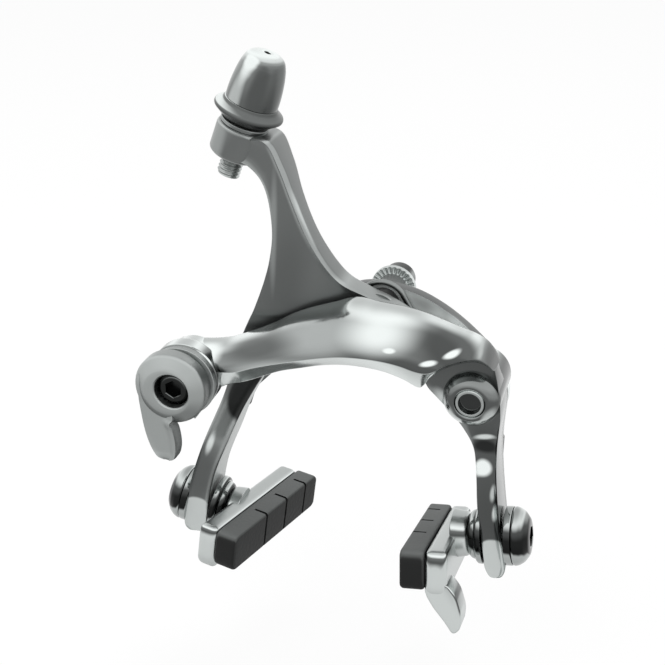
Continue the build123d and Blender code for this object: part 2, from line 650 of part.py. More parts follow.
def shoe_set(side, bolt, leg_thickness, pad_centre, toe_out, pitch, has_fin):
    """One shoe with its stud, washers and nut. The bolt plane's normal points outwards."""
    half = leg_thickness / 2
    sign = 1 if bolt.z_dir.X > 0 else -1
    inner = Plane(origin=bolt.origin - bolt.z_dir * half, x_dir=bolt.x_dir, z_dir=-bolt.z_dir)
    outer = bolt.offset(half)
    hole = stud_radius + bolt_clearance

    dome_start = inner_washer_height + 0.05
    boss_start = dome_start + inner_dome_height + 0.05
    rim = hollow_washer_radius
    hollow = turned(inner, [(hole, 0), (rim, 0), (rim, inner_washer_height - 0.5),
                            (rim - 0.5, inner_washer_height), (hole, inner_washer_height)])
    finish(hollow, f"{side}_inner_washer")
    domed = turned(inner, [(hole, dome_start), (inner_dome_radius, dome_start),
                           (inner_dome_radius - 1.0, boss_start - 0.05), (hole, boss_start - 0.05)])
    finish(domed, f"{side}_domed_washer")
    outside = turned(outer, [(hole, 0), (rim, 0), (rim, hollow_washer_height - 0.4),
                             (rim - 0.4, hollow_washer_height), (hole, hollow_washer_height)])
    finish(outside, f"{side}_outer_washer")

    seat = outer.offset(hollow_washer_height + 0.05)
    nut_cap = shoe_nut_socket_depth + 0.2
    dome = turned(seat, [(0, 0), (shoe_nut_radius, 0), (shoe_nut_radius, 1.2), (shoe_nut_radius - 1.0, 2.9),
                         (shoe_nut_radius - 3.4, shoe_nut_height), (0, shoe_nut_height)])
    with BuildPart() as nut:
        add(dome)
        with BuildSketch(seat):
            Circle(hole)
        extrude(amount=shoe_nut_height - nut_cap, mode=Mode.SUBTRACT)
        with BuildSketch(seat.offset(shoe_nut_height)):
            RegularPolygon(shoe_nut_flats / 2, 6, major_radius=False)
        extrude(amount=-shoe_nut_socket_depth, mode=Mode.SUBTRACT)
    finish(nut.part, f"{side}_shoe_nut")

    along = Vector(sin(radians(toe_out)), cos(radians(toe_out)) * cos(radians(pitch)), sin(radians(pitch)))
    level = Vector(sign * cos(radians(shoe_roll)), 0, sin(radians(shoe_roll)))
    across = (level - along.normalized() * along.normalized().dot(level)).normalized()
    braking = Plane(origin=pad_centre, x_dir=along, z_dir=across)
    up = 1 if braking.y_dir.Z > 0 else -1
    holder_back = braking.offset(pad_thickness + holder_thickness)
    reach = abs((holder_back.origin - inner.origin).dot(inner.z_dir)) + 3.0

    stud_inner_end = reach - 2.0
    stud_hole = turned(inner, [(0, 0), (stud_radius + 0.02, 0), (stud_radius + 0.02, stud_inner_end),
                               (0, stud_inner_end)])
    with BuildPart() as holder:
        with BuildSketch(braking.offset(pad_thickness)):
            with Locations((0, -up * holder_drop)):
                RectangleRounded(pad_length - 1.0, holder_height, pad_corner)
        extrude(amount=holder_thickness)
        with BuildSketch(inner.offset(boss_start)):
            Circle(holder_boss_radius)
        extrude(amount=reach - boss_start)
        if has_fin:
            with BuildSketch(Plane(origin=holder_back.origin - along.normalized() * (pad_length / 2 - 1.0),
                                   x_dir=across, z_dir=along)):
                with BuildLine():
                    base = up * holder_height / 2
                    Polyline((-5.4, base * 0.5), (-5.4, base), (-3.4, base + up * fin_drop * 0.32),
                             (-0.4, base + up * fin_drop * 0.7), (1.6, base + up * fin_drop),
                             (3.6, base + up * fin_drop * 0.84), (3.8, base + up * fin_drop * 0.46),
                             (2.4, base), (0, base * 0.5), close=True)
                make_face()
            extrude(amount=fin_length)
        add(stud_hole, mode=Mode.SUBTRACT)
    finish(holder.part, f"{side}_shoe_holder")

    with BuildPart() as pad:
        with BuildSketch(braking):
            RectangleRounded(pad_length, pad_height, pad_corner)
        extrude(amount=pad_thickness)
        with BuildSketch(braking):
            with Locations((groove_shift - groove_pitch, 0), (groove_shift, 0),
                           (groove_shift + groove_pitch, 0)):
                Rectangle(groove_width, pad_height + 2)
        extrude(amount=groove_depth, mode=Mode.SUBTRACT)
    finish(pad.part, f"{side}_brake_pad")

    stud_outer_end = nut_cap + 0.2 - leg_thickness - hollow_washer_height - shoe_nut_height
    stud = turned(inner, [(0, stud_inner_end), (stud_radius, stud_inner_end), (stud_radius, stud_outer_end),
                          (0, stud_outer_end)])
    finish(stud, f"{side}_shoe_stud")


shoe_set("left", left_bolt, left_leg_thickness, (left_pad_x, -shoe_station, left_pad_z), left_toe_out,
         left_pitch, False)
shoe_set("right", right_bolt, right_leg_thickness, (right_pad_x, -shoe_station, right_pad_z), right_toe_out,
         right_pitch, True)
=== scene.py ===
"""Dresses the caliper brake: smooth forged arms, turned fittings, shoes and finishes."""
import json
import math

import bmesh
import bpy
import numpy as np
from mathutils import Matrix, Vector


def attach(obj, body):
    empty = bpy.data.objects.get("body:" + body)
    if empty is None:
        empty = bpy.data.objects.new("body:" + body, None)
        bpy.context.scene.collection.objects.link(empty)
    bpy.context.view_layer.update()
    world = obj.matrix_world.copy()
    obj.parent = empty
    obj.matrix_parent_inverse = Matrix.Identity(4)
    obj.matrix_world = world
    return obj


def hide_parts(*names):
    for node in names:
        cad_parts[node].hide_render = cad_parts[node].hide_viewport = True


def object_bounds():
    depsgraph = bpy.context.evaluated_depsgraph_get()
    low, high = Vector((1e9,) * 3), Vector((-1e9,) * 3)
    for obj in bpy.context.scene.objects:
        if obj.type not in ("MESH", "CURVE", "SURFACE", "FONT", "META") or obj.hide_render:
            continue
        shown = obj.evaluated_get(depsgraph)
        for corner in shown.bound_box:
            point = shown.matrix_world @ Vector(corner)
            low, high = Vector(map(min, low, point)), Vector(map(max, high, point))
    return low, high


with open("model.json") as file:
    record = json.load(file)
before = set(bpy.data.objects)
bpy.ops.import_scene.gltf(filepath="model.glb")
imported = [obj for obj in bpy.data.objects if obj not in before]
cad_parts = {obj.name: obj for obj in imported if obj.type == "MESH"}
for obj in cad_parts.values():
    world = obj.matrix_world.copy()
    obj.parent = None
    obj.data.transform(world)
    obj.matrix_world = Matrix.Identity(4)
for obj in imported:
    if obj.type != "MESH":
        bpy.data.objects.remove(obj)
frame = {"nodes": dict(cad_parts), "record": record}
CAD_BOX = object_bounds()

bl_info = {
    "name": "Caliper brake",
    "version": (1, 0, 0),
    "blender": (4, 5, 0),
    "location": "3D View > Sidebar > Brake",
    "description": "Builds the looks of a dual-pivot caliper brake on its solids",
    "category": "Object",
}

MM = 0.001
# Sides of a turned piece, and the radii of an M6 shaft and of its hole, in millimetres
SIDES = 96
SHAFT, BORE = 3.0, 3.05

# Camera in pixels of the square picture: focal length, middle, where the toothed washer shows,
# and how many pixels show a millimetre there
PICTURE_PX, FOCAL_PX, MIDDLE_PX, SEAT_PX, SEAT_SCALE = 665.0, 1190.0, 332.5, (392.7, 288.5), 3.80

# Places in the front view, and stations in front of the frame seat, in millimetres, as in the solids
LEG_FRONT = 28.3
SHOE_STATION = 22.15
PIVOT = (26.6, -15.4)
ANCHOR = (-45.8, -16.2)
HUB = (-47.0, -16.6)
ANCHOR_WASHER_FRONT = 38.0
LEVER_BACK = 38.05
STOP_ORIGIN = (-34.9, -15.5, 45.0)
STOP_LEAN = math.radians(20.2)
STOP_AXIS = (math.sin(STOP_LEAN), 0.0, math.cos(STOP_LEAN))
SHOE_ROLL = math.radians(5.5)
SHOES = {
    "left": {"body": "y_arm", "bolt": (-47.2, -60.8), "lean": 11.0, "side": -1, "leg": 6.6,
             "pad": (-26.3, -64.6), "toe": 10.5, "pitch": -6.8},
    "right": {"body": "c_arm", "bolt": (34.1, -57.3), "lean": 7.5, "side": 1, "leg": 5.8,
              "pad": (12.9, -64.1), "toe": -1.2, "pitch": -16.8},
}

# Rear arm from its cable stop to its left foot. Each row crosses the arm: outer X, outer Z,
# inner X, inner Z, front station, back station, width of the bevel on the inner side
REAR_ARM_ROWS = [
    (-34.5, 40.2, -34.3, 40.4, 20.4, 10.6, 0.1), (-35.4, 37.9, -31.2, 43.0, 21.0, 10.0, 0.3),
    (-32.2, 36.2, -27.4, 42.0, 21.0, 10.0, 0.8), (-29.2, 33.2, -24.3, 36.2, 21.0, 11.2, 0.9),
    (-27.3, 28.3, -21.3, 28.4, 21.0, 13.2, 0.9), (-26.4, 19.3, -17.2, 18.8, 21.0, 13.6, 0.9),
    (-27.4, 11.7, -12.3, 11.4, 21.0, 13.6, 0.9), (-28.6, 7.2, -8.3, 7.8, 21.0, 14.0, 0.9),
    (-29.8, 3.6, -2.4, 5.5, 21.0, 14.6, 0.8), (-31.0, 0.4, 4.2, 3.2, 21.0, 15.2, 0.7),
    (-32.2, -2.6, 12.8, -1.6, 21.0, 15.0, 0.6), (-33.2, -4.6, 18.2, -4.6, 20.8, 14.4, 0.4),
    (-34.2, -6.8, 18.2, -6.6, 20.8, 13.8, 0.3), (-35.0, -8.8, 9.6, -7.6, 21.0, 13.6, 0.3),
    (-35.8, -10.8, -1.0, -8.3, 21.0, 13.6, 0.3), (-36.7, -13.6, -11.0, -8.8, 21.0, 13.6, 0.3),
    (-37.6, -16.8, -19.5, -10.9, 21.0, 13.6, 0.3), (-38.9, -21.6, -27.2, -17.0, 21.4, 13.6, 0.3),
    (-41.0, -28.4, -34.4, -28.4, 22.6, 13.6, 0.3), (-44.9, -39.5, -38.5, -39.0, 27.4, 15.0, 0.3),
    (-48.2, -49.6, -42.2, -48.9, 28.3, 16.0, 0.3), (-50.4, -58.2, -44.1, -57.4, 28.3, 16.0, 0.3),
    (-51.4, -64.2, -44.9, -62.9, 28.3, 16.0, 0.3), (-51.2, -66.8, -45.4, -66.2, 28.3, 16.0, 0.3),
    (-50.0, -68.1, -46.7, -67.8, 28.1, 16.2, 0.2), (-48.5, -68.4, -48.1, -68.4, 27.6, 16.8, 0.1),
]
# Arch of the front arm. Each row crosses it from its top edge over the ridge to its lower edge:
# top X, Z and station; ridge X, Z and station; lower edge X, Z and station; back station
ARCH_ROWS = [
    (-53.2, -16.4, 30.0, -53.2, -16.7, 30.6, -53.2, -17.0, 30.4, 28.0),
    (-52.0, -12.8, 29.2, -52.6, -17.0, 33.6, -52.4, -20.6, 32.0, 27.0),
    (-48.6, -10.0, 28.6, -48.4, -16.8, 34.8, -48.4, -24.2, 32.4, 26.2),
    (-44.4, -8.9, 28.2, -43.6, -15.6, 35.0, -43.6, -24.0, 32.4, 26.0),
    (-40.4, -8.6, 27.6, -40.2, -14.4, 35.1, -40.0, -21.4, 32.3, 25.4),
    (-36.2, -8.1, 26.8, -37.2, -13.6, 35.2, -36.0, -18.8, 32.2, 24.2),
    (-30.4, -6.0, 25.8, -32.6, -13.0, 35.4, -30.2, -16.7, 32.3, 22.8),
    (-25.8, -3.8, 25.0, -27.4, -10.9, 35.8, -25.2, -14.3, 32.5, 22.2),
    (-20.8, -0.7, 24.5, -20.4, -8.5, 36.2, -20.6, -12.2, 32.7, 22.2),
    (-16.0, 1.6, 24.5, -14.6, -6.7, 36.5, -15.7, -10.7, 32.8, 22.2),
    (-9.6, 4.0, 24.5, -9.0, -5.2, 36.6, -10.4, -9.1, 33.0, 22.2),
    (-4.0, 6.0, 24.5, -4.0, -4.3, 36.6, -5.2, -8.2, 33.0, 22.2),
    (2.4, 5.4, 24.5, 1.8, -4.1, 36.3, 0.6, -8.1, 32.9, 22.2),
    (8.0, 4.9, 24.5, 6.4, -4.5, 35.8, 5.8, -8.8, 32.6, 22.2),
    (13.0, 4.0, 24.5, 10.2, -5.3, 35.3, 10.4, -10.5, 32.0, 22.2),
    (17.4, 2.7, 24.5, 13.4, -6.4, 34.8, 14.0, -12.5, 31.2, 22.2),
    (20.8, 1.6, 24.5, 15.8, -6.8, 34.5, 15.6, -11.2, 31.8, 22.2),
    (23.6, 0.8, 24.5, 17.8, -6.3, 34.3, 17.2, -8.4, 32.9, 22.2),
    (26.0, 0.1, 24.5, 20.8, -4.2, 34.1, 20.9, -5.4, 33.1, 22.2),
    (28.0, -0.8, 24.5, 24.4, -2.7, 33.8, 24.5, -3.8, 32.9, 22.2),
    (29.6, -2.0, 24.5, 27.8, -2.1, 33.3, 27.7, -3.2, 32.4, 22.2),
    (31.0, -3.8, 24.5, 30.2, -3.2, 32.3, 29.9, -4.2, 31.4, 22.2),
    (32.2, -6.2, 24.5, 31.9, -5.4, 30.8, 31.5, -6.2, 30.2, 22.2),
]
# Right leg of the front arm, in the same columns as the rear arm without the bevel
RIGHT_LEG_ROWS = [
    (29.6, -2.8, 21.6, -3.4, 27.6, 22.4), (31.4, -5.4, 17.4, -6.4, 28.3, 22.2),
    (32.4, -8.6, 15.0, -10.4, 28.3, 22.2), (33.1, -12.0, 15.6, -13.2, 28.3, 20.0),
    (33.7, -16.0, 18.4, -16.2, 28.3, 17.0), (34.0, -20.0, 21.8, -19.6, 28.3, 16.0),
    (33.8, -24.0, 25.2, -23.8, 28.2, 16.0), (33.6, -29.0, 27.9, -29.2, 27.6, 16.0),
    (33.9, -36.0, 29.0, -36.6, 27.8, 16.0), (34.9, -45.0, 29.8, -45.4, 28.3, 16.0),
    (36.2, -54.0, 31.2, -54.6, 28.3, 16.0), (37.3, -60.0, 32.1, -60.8, 28.3, 16.0),
    (37.8, -63.6, 32.8, -64.2, 28.3, 16.0), (36.9, -66.0, 34.0, -66.4, 28.1, 16.2),
    (35.6, -66.9, 35.2, -67.0, 27.6, 16.8),
]
# Bridge plate behind, in the same columns
BRIDGE_ROWS = [
    (-10.4, -0.3, -10.5, -0.7, 10.8, 7.6), (-9.5, 2.5, -9.7, -3.4, 11.2, 7.2),
    (-6.4, 4.3, -6.0, -5.1, 11.2, 7.2), (0.0, 4.9, 0.0, -5.3, 11.2, 7.2),
    (8.3, 3.5, 5.2, -7.0, 11.2, 7.2), (15.0, 0.5, 9.6, -11.0, 11.2, 7.2),
    (20.0, -2.8, 13.2, -15.4, 11.2, 7.2), (23.7, -5.8, 17.1, -19.8, 11.2, 7.2),
    (27.4, -9.3, 21.0, -23.4, 11.2, 7.2), (30.2, -12.8, 24.6, -25.6, 11.2, 7.2),
    (32.2, -17.0, 27.6, -26.5, 11.2, 7.2), (33.2, -20.0, 29.8, -26.7, 11.2, 7.2),
    (33.3, -23.4, 31.5, -26.1, 11.2, 7.2), (33.0, -25.0, 32.5, -25.5, 10.8, 7.6),
]
# Quick-release lever, from the hub's centre, in the same columns
LEVER_ROWS = [
    (-8.1, 3.4, -7.6, 3.6, 42.6, 40.4), (-8.1, 1.0, -4.6, 1.4, 43.2, 39.8),
    (-8.0, -3.0, -3.4, -4.0, 43.3, 39.6), (-7.8, -5.4, 0.8, -6.2, 43.3, 39.6),
    (-7.6, -7.2, 1.0, -7.8, 43.3, 39.6), (-7.3, -9.6, 0.1, -9.2, 43.3, 39.6),
    (-6.9, -12.0, 0.9, -11.2, 43.3, 39.6),
    (-6.2, -14.8, 1.4, -14.4, 43.3, 39.6), (-5.2, -17.4, 1.3, -17.2, 43.3, 39.6),
    (-3.9, -19.3, 0.6, -19.3, 43.3, 39.8), (-2.5, -20.2, -0.9, -20.3, 42.8, 40.2),
]

# Painted reflections: soft marks of painted highlight and painted shade on the polished front faces, in the
# front view:
# X, Z, half length, half width, angle, softness, level, weight
REAR_ARM_PAINTED_REFLECTIONS = [
    (-34.4, -26.4, 7.2, 4.6, 62.0, 0.12, 0.15, 0.95), (-43.2, -40.0, 3.0, 0.8, 72.0, 0.5, 0.92, 0.9),
    (-23.0, 8.0, 12.0, 4.5, 80.0, 0.8, 0.34, 0.7), (-26.2, 20.0, 13.0, 0.8, 88.0, 0.6, 0.6, 0.6),
    (-45.6, -50.0, 8.0, 3.4, 70.0, 0.6, 0.33, 0.7), (-48.0, -64.6, 7.2, 7.2, 0.0, 0.06, 0.78, 0.95),
    (-18.6, 24.0, 6.0, 0.5, -66.0, 0.6, 0.9, 0.6),
]
FRONT_ARM_PAINTED_REFLECTIONS = [
    (23.0, -1.8, 11.5, 5.2, -22.0, 0.5, 0.3, 0.92), (-10.0, -0.6, 9.5, 4.6, 14.0, 0.7, 0.72, 0.8),
    (4.4, 1.6, 6.6, 3.6, 2.0, 0.8, 1.0, 0.9), (-27.0, -6.6, 9.5, 2.4, 18.0, 0.6, 0.4, 0.9),
    (-24.0, -10.4, 9.0, 1.6, 18.0, 0.7, 0.86, 0.6), (-40.4, -10.2, 3.3, 2.0, 8.0, 0.5, 1.0, 0.95),
    (7.4, -1.6, 1.4, 0.6, 0.0, 0.4, 1.0, 1.0), (16.8, -4.2, 1.9, 0.65, 12.0, 0.4, 1.0, 1.0),
    (22.0, -1.9, 1.9, 0.6, 22.0, 0.4, 1.0, 1.0),
    (31.8, -49.0, 9.0, 4.4, 86.0, 0.8, 0.3, 0.8), (30.2, -34.8, 2.3, 2.2, 88.0, 0.3, 0.97, 0.95),
    (33.3, -41.5, 2.2, 0.7, 86.0, 0.5, 0.8, 0.8), (34.2, -47.0, 2.3, 0.7, 86.0, 0.5, 0.9, 0.85),
    (34.8, -62.6, 7.2, 7.2, 0.0, 0.06, 0.78, 0.95),
    (20.6, -18.0, 4.2, 1.5, -55.0, 0.5, 0.78, 0.85), (31.2, -18.6, 2.6, 1.2, 62.0, 0.5, 0.75, 0.8),
    (30.6, -28.6, 3.2, 1.8, 0.0, 0.4, 0.14, 0.9), (30.3, -25.8, 2.4, 0.7, 12.0, 0.5, 0.85, 0.9),
]
BRIDGE_PAINTED_REFLECTIONS = [
    (9.0, -1.6, 7.0, 2.4, -30.0, 0.7, 0.72, 0.6), (19.6, -3.8, 3.0, 1.3, -42.0, 0.7, 1.0, 0.95),
    (13.4, -0.6, 1.9, 1.0, -30.0, 0.8, 0.95, 0.8), (10.4, 0.8, 3.6, 1.2, -20.0, 0.8, 0.55, 0.6),
    (28.0, -13.0, 3.4, 7.0, -50.0, 0.5, 0.35, 0.8),
]


def step(value, low, high):
    """Smooth step from 0 at low to 1 at high."""
    t = np.clip((value - low) / (high - low), 0.0, 1.0)
    return t * t * (3.0 - 2.0 * t)


def circle(count):
    """Equally spaced angles once round."""
    return np.linspace(0, 2 * np.pi, count, endpoint=False)


def smooth_curve(knots, per_span=14):
    """Centripetal Catmull-Rom curve through the knots, with as many points in each span."""
    p = np.array(knots, float)
    p = np.vstack([2 * p[0] - p[1], p, 2 * p[-1] - p[-2]])
    t = np.concatenate([[0.0], np.cumsum(np.sqrt(np.linalg.norm(np.diff(p, axis=0), axis=1)) + 1e-9)])
    spans = []
    for i in range(1, len(p) - 2):
        u = np.linspace(t[i], t[i + 1], per_span, endpoint=False)[:, None]
        a1 = ((t[i] - u) * p[i - 1] + (u - t[i - 1]) * p[i]) / (t[i] - t[i - 1])
        a2 = ((t[i + 1] - u) * p[i] + (u - t[i]) * p[i + 1]) / (t[i + 1] - t[i])
        a3 = ((t[i + 2] - u) * p[i + 1] + (u - t[i + 1]) * p[i + 2]) / (t[i + 2] - t[i + 1])
        b1 = ((t[i + 1] - u) * a1 + (u - t[i - 1]) * a2) / (t[i + 1] - t[i - 1])
        b2 = ((t[i + 2] - u) * a2 + (u - t[i]) * a3) / (t[i + 2] - t[i])
        spans.append(((t[i + 1] - u) * b1 + (u - t[i]) * b2) / (t[i + 1] - t[i]))
    return np.vstack(spans + [p[-2][None]])


def grid_faces(rows, columns, wrap_rows=False, wrap_columns=True):
    """Quads between neighbouring rows and columns of a grid of points."""
    i = np.arange(rows if wrap_rows else rows - 1)
    j = np.arange(columns if wrap_columns else columns - 1)
    i, j = np.meshgrid(i, j, indexing="ij")
    i2, j2 = (i + 1) % rows, (j + 1) % columns
    quads = [i * columns + j, i2 * columns + j, i2 * columns + j2, i * columns + j2]
    return np.stack(quads, -1).reshape(-1, 4)


def add_piece(name, shells, body, slot, node, finish=None, sharp=38.0):
    """One object from closed shells of (points in millimetres, faces), riding on its body.

    It stands for one node of the solids, and has its slot's finish unless another is named.
    """
    mesh = bpy.data.meshes.new(name)
    points, faces, base = [], [], 0
    for shell_points, shell_faces in shells:
        points.append(np.asarray(shell_points).reshape(-1, 3) * MM)
        faces += [tuple(int(k) + base for k in face) for face in shell_faces]
        base += len(points[-1])
    mesh.from_pydata(np.vstack(points), [], faces)
    work = bmesh.new()
    work.from_mesh(mesh)
    bmesh.ops.remove_doubles(work, verts=work.verts, dist=2e-6)
    bmesh.ops.dissolve_degenerate(work, edges=work.edges, dist=1e-7)
    bmesh.ops.recalc_face_normals(work, faces=work.faces)
    work.to_mesh(mesh)
    work.free()
    mesh.shade_smooth()
    mesh.set_sharp_from_angle(angle=math.radians(sharp))
    piece = bpy.data.objects.new(name, mesh)
    bpy.context.scene.collection.objects.link(piece)
    piece.data.materials.append(MATERIALS[finish or slot])
    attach(piece, body)
    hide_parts(node)


class Place:
    """A local frame: an origin, the way its x points and its axis."""

    def __init__(self, origin, x_dir, axis):
        self.origin = np.array(origin, float)
        self.z = np.array(axis, float) / np.linalg.norm(axis)
        x = np.array(x_dir, float)
        x = x - self.z * (x @ self.z)
        self.x = x / np.linalg.norm(x)
        self.y = np.cross(self.z, self.x)

    def at(self, a, b, c):
        """Points from three grids of local coordinates."""
        a, b, c = np.broadcast_arrays(a, b, c)
        return self.origin + a[..., None] * self.x + b[..., None] * self.y + c[..., None] * self.z


def facing(x, z, station):
    """A frame that looks forwards at this station in front of the frame seat."""
    return Place((x, -station, z), (1, 0, 0), (0, -1, 0))


def rounded(profile, radius, closed=False, steps=5):
    """The polyline with each corner replaced by an arc-like curve of about this radius."""
    p = np.array(profile, float)
    count = len(p)
    out = []
    for i in range(count):
        if not closed and i in (0, count - 1):
            out.append(p[i][None])
            continue
        before, after = p[i - 1] - p[i], p[(i + 1) % count] - p[i]
        la, lb = np.linalg.norm(before), np.linalg.norm(after)
        cut = min(radius, 0.48 * la, 0.48 * lb)
        a, b = p[i] + before / la * cut, p[i] + after / lb * cut
        t = np.linspace(0, 1, steps)[:, None]
        out.append((1 - t) ** 2 * a + 2 * t * (1 - t) * p[i] + t ** 2 * b)
    return np.vstack(out)


def lathe(place, profile, radius=0.25, closed=False):
    """A turned shell: the rounded (radius, height) profile carried round the place's axis."""
    p = rounded(profile, radius, closed)
    angle = circle(SIDES)
    r, h = p[:, 0][:, None], p[:, 1][:, None]
    points = place.at(r * np.cos(angle), r * np.sin(angle), h + 0 * angle)
    return points, grid_faces(len(p), SIDES, wrap_rows=closed)


def prism(place, loop, height, edge=0.4):
    """A plate: the loop carried along the axis, its rim rounded by insetting the last loops."""
    p = np.array(loop, float)
    tangent = np.roll(p, -1, 0) - np.roll(p, 1, 0)
    tangent /= np.linalg.norm(tangent, axis=1)[:, None] + 1e-12
    area = np.sum(p[:, 0] * np.roll(p[:, 1], -1) - np.roll(p[:, 0], -1) * p[:, 1])
    inward = np.stack([-tangent[:, 1], tangent[:, 0]], 1) * np.sign(area)
    turn = np.linspace(0, np.pi / 2, 5)
    insets = np.concatenate([edge * (1 - np.sin(turn)), (edge * (1 - np.sin(turn)))[::-1]])
    levels = np.concatenate([edge * (1 - np.cos(turn)), height - (edge * (1 - np.cos(turn)))[::-1]])
    rings = p[None] + insets[:, None, None] * inward[None]
    points = place.at(rings[..., 0], rings[..., 1], levels[:, None] + 0 * rings[..., 0])
    n = len(p)
    faces = [tuple(f) for f in grid_faces(len(levels), n)]
    faces.append(tuple(range(n)))
    faces.append(tuple(range((len(levels) - 1) * n, len(levels) * n)))
    return points, faces


def sections(loop):
    """Quads round and along a stack of closed cross-sections, with flat caps on its two ends."""
    rows, columns = loop.shape[:2]
    faces = [tuple(f) for f in grid_faces(rows, columns)]
    faces.append(tuple(range(columns)))
    faces.append(tuple(range((rows - 1) * columns, rows * columns)))
    return loop, faces


def eased(loop, radii, steps=4):
    """Closed cross-sections with each corner replaced by a curve of its own radius.

    loop is rows by corners by 3. The curve is the quadratic one that starts and ends at the
    radius's distance from the corner, or a little under half way along a shorter side.
    """
    before = np.roll(loop, 1, 1) - loop
    after = np.roll(loop, -1, 1) - loop
    la = np.linalg.norm(before, axis=2, keepdims=True) + 1e-9
    lb = np.linalg.norm(after, axis=2, keepdims=True) + 1e-9
    cut = np.minimum(np.array(radii)[None, :, None], 0.46 * np.minimum(la, lb))
    a, b = loop + before / la * cut, loop + after / lb * cut
    t = np.linspace(0, 1, steps)[None, None, :, None]
    curve = (1 - t) ** 2 * a[:, :, None] + 2 * t * (1 - t) * loop[:, :, None] + t ** 2 * b[:, :, None]
    return curve.reshape(len(loop), -1, 3)


def strip(rows, outer_edge, inner_edge, back_edge, dish, lip=0.0, origin=(0.0, 0.0), per_span=10):
    """A forged strip between two edges: dished in front, bevelled on its inner side, flat behind.

    A point of the front lies at the front station, less the dish times one less the fourth
    power of its distance from the middle, plus the lip close to the inner edge.
    """
    rows = [row if len(row) == 7 else (*row, 0.3) for row in rows]
    rail = smooth_curve(rows, per_span)
    outer = rail[:, 0:2] + np.array(origin)
    inner = rail[:, 2:4] + np.array(origin)
    front, back, bevel = rail[:, 4:5], rail[:, 5:6], rail[:, 6:7]
    width = np.linalg.norm(inner - outer, axis=1)[:, None]
    side = inner + (inner - outer) / width * bevel
    share = np.linspace(0, 1, 15)[None]
    across = 0.5 - 0.5 * np.cos(np.pi * share) * np.abs(np.cos(np.pi * share)) ** -0.2
    face = outer[:, None] + across[..., None] * (inner - outer)[:, None]
    room = np.clip(width / 6.0, 0, 1)
    middle = np.clip(1 - (2 * across - 1) ** 4, 0, 1)
    station = front - dish * room * middle + lip * room * step(across, 0.72, 0.86)
    near = np.stack([face[..., 0], -station, face[..., 1]], -1)
    flank = np.stack([side[:, 0], -(front - 1.4 * bevel)[:, 0], side[:, 1]], -1)[:, None]
    ends = np.stack([side, outer], 1)
    far = np.stack([ends[..., 0], -np.repeat(back, 2, 1), ends[..., 1]], -1)
    loop = np.concatenate([near, flank, far], axis=1)
    radii = [outer_edge] + [0.0] * (near.shape[1] - 2) + [inner_edge, inner_edge, back_edge, back_edge]
    return sections(eased(loop, radii))


def arch(rows, per_span=10):
    """The arch: an elliptical quarter round from its top edge to the ridge, then a bevel.

    Across the top, the place goes as one less the cosine and the station as the sine of an
    angle that runs from 0 at the top edge to a right angle at the ridge.
    """
    rail = smooth_curve(rows, per_span)
    top, ridge, low, back = rail[:, 0:3], rail[:, 3:6], rail[:, 6:9], rail[:, 9:10]
    turn = np.linspace(0.06, np.pi / 2, 18)[None]
    share, rise = 1 - np.cos(turn), np.sin(turn)
    x = top[:, :1] + (ridge[:, :1] - top[:, :1]) * share
    z = top[:, 1:2] + (ridge[:, 1:2] - top[:, 1:2]) * share
    station = top[:, 2:3] + (ridge[:, 2:3] - top[:, 2:3]) * rise
    crown = np.stack([x, -station, z], -1)
    start = np.stack([top[:, 0], -top[:, 2], top[:, 1]], -1)[:, None]
    lower = np.stack([low[:, 0], -low[:, 2], low[:, 1]], -1)[:, None]
    behind_low = np.stack([low[:, 0], -back[:, 0], low[:, 1]], -1)[:, None]
    behind_top = np.stack([top[:, 0], -back[:, 0], top[:, 1]], -1)[:, None]
    loop = np.concatenate([start, crown, lower, behind_low, behind_top], axis=1)
    radii = [0.5] + [0.0] * (crown.shape[1] - 1) + [0.7, 0.5, 0.8, 0.8]
    return sections(eased(loop, radii))


def tone(level, tint):
    """The linear light of a grey that shows at this level, tinted, with full alpha."""
    light = ((level + 0.055) / 1.055) ** 2.4
    return (*[light * share for share in tint], 1.0)


def add_node(tree, kind, inputs=None, **settings):
    """A node of this kind with its settings, and a link or a value for each input named."""
    node = tree.nodes.new(kind)
    for key, value in settings.items():
        setattr(node, key, value)
    for key, value in (inputs or {}).items():
        if isinstance(value, bpy.types.NodeSocket):
            tree.links.new(value, node.inputs[key])
        else:
            node.inputs[key].default_value = value
    return node


def multiply(tree, first, second):
    """The product of a socket and another socket or number."""
    return add_node(tree, "ShaderNodeMath", {0: first, 1: second}, operation="MULTIPLY").outputs["Value"]


def greater(tree, first, second):
    """The greater of two sockets."""
    return add_node(tree, "ShaderNodeMath", {0: first, 1: second}, operation="MAXIMUM").outputs["Value"]


def new_material(name, roughness, metallic):
    """A material, its node tree and its shader, with this roughness and metal share."""
    material = bpy.data.materials.new(name)
    material.use_nodes = True
    shader = material.node_tree.nodes["Principled BSDF"]
    shader.inputs["Metallic"].default_value = metallic
    shader.inputs["Roughness"].default_value = roughness
    return material, material.node_tree, shader


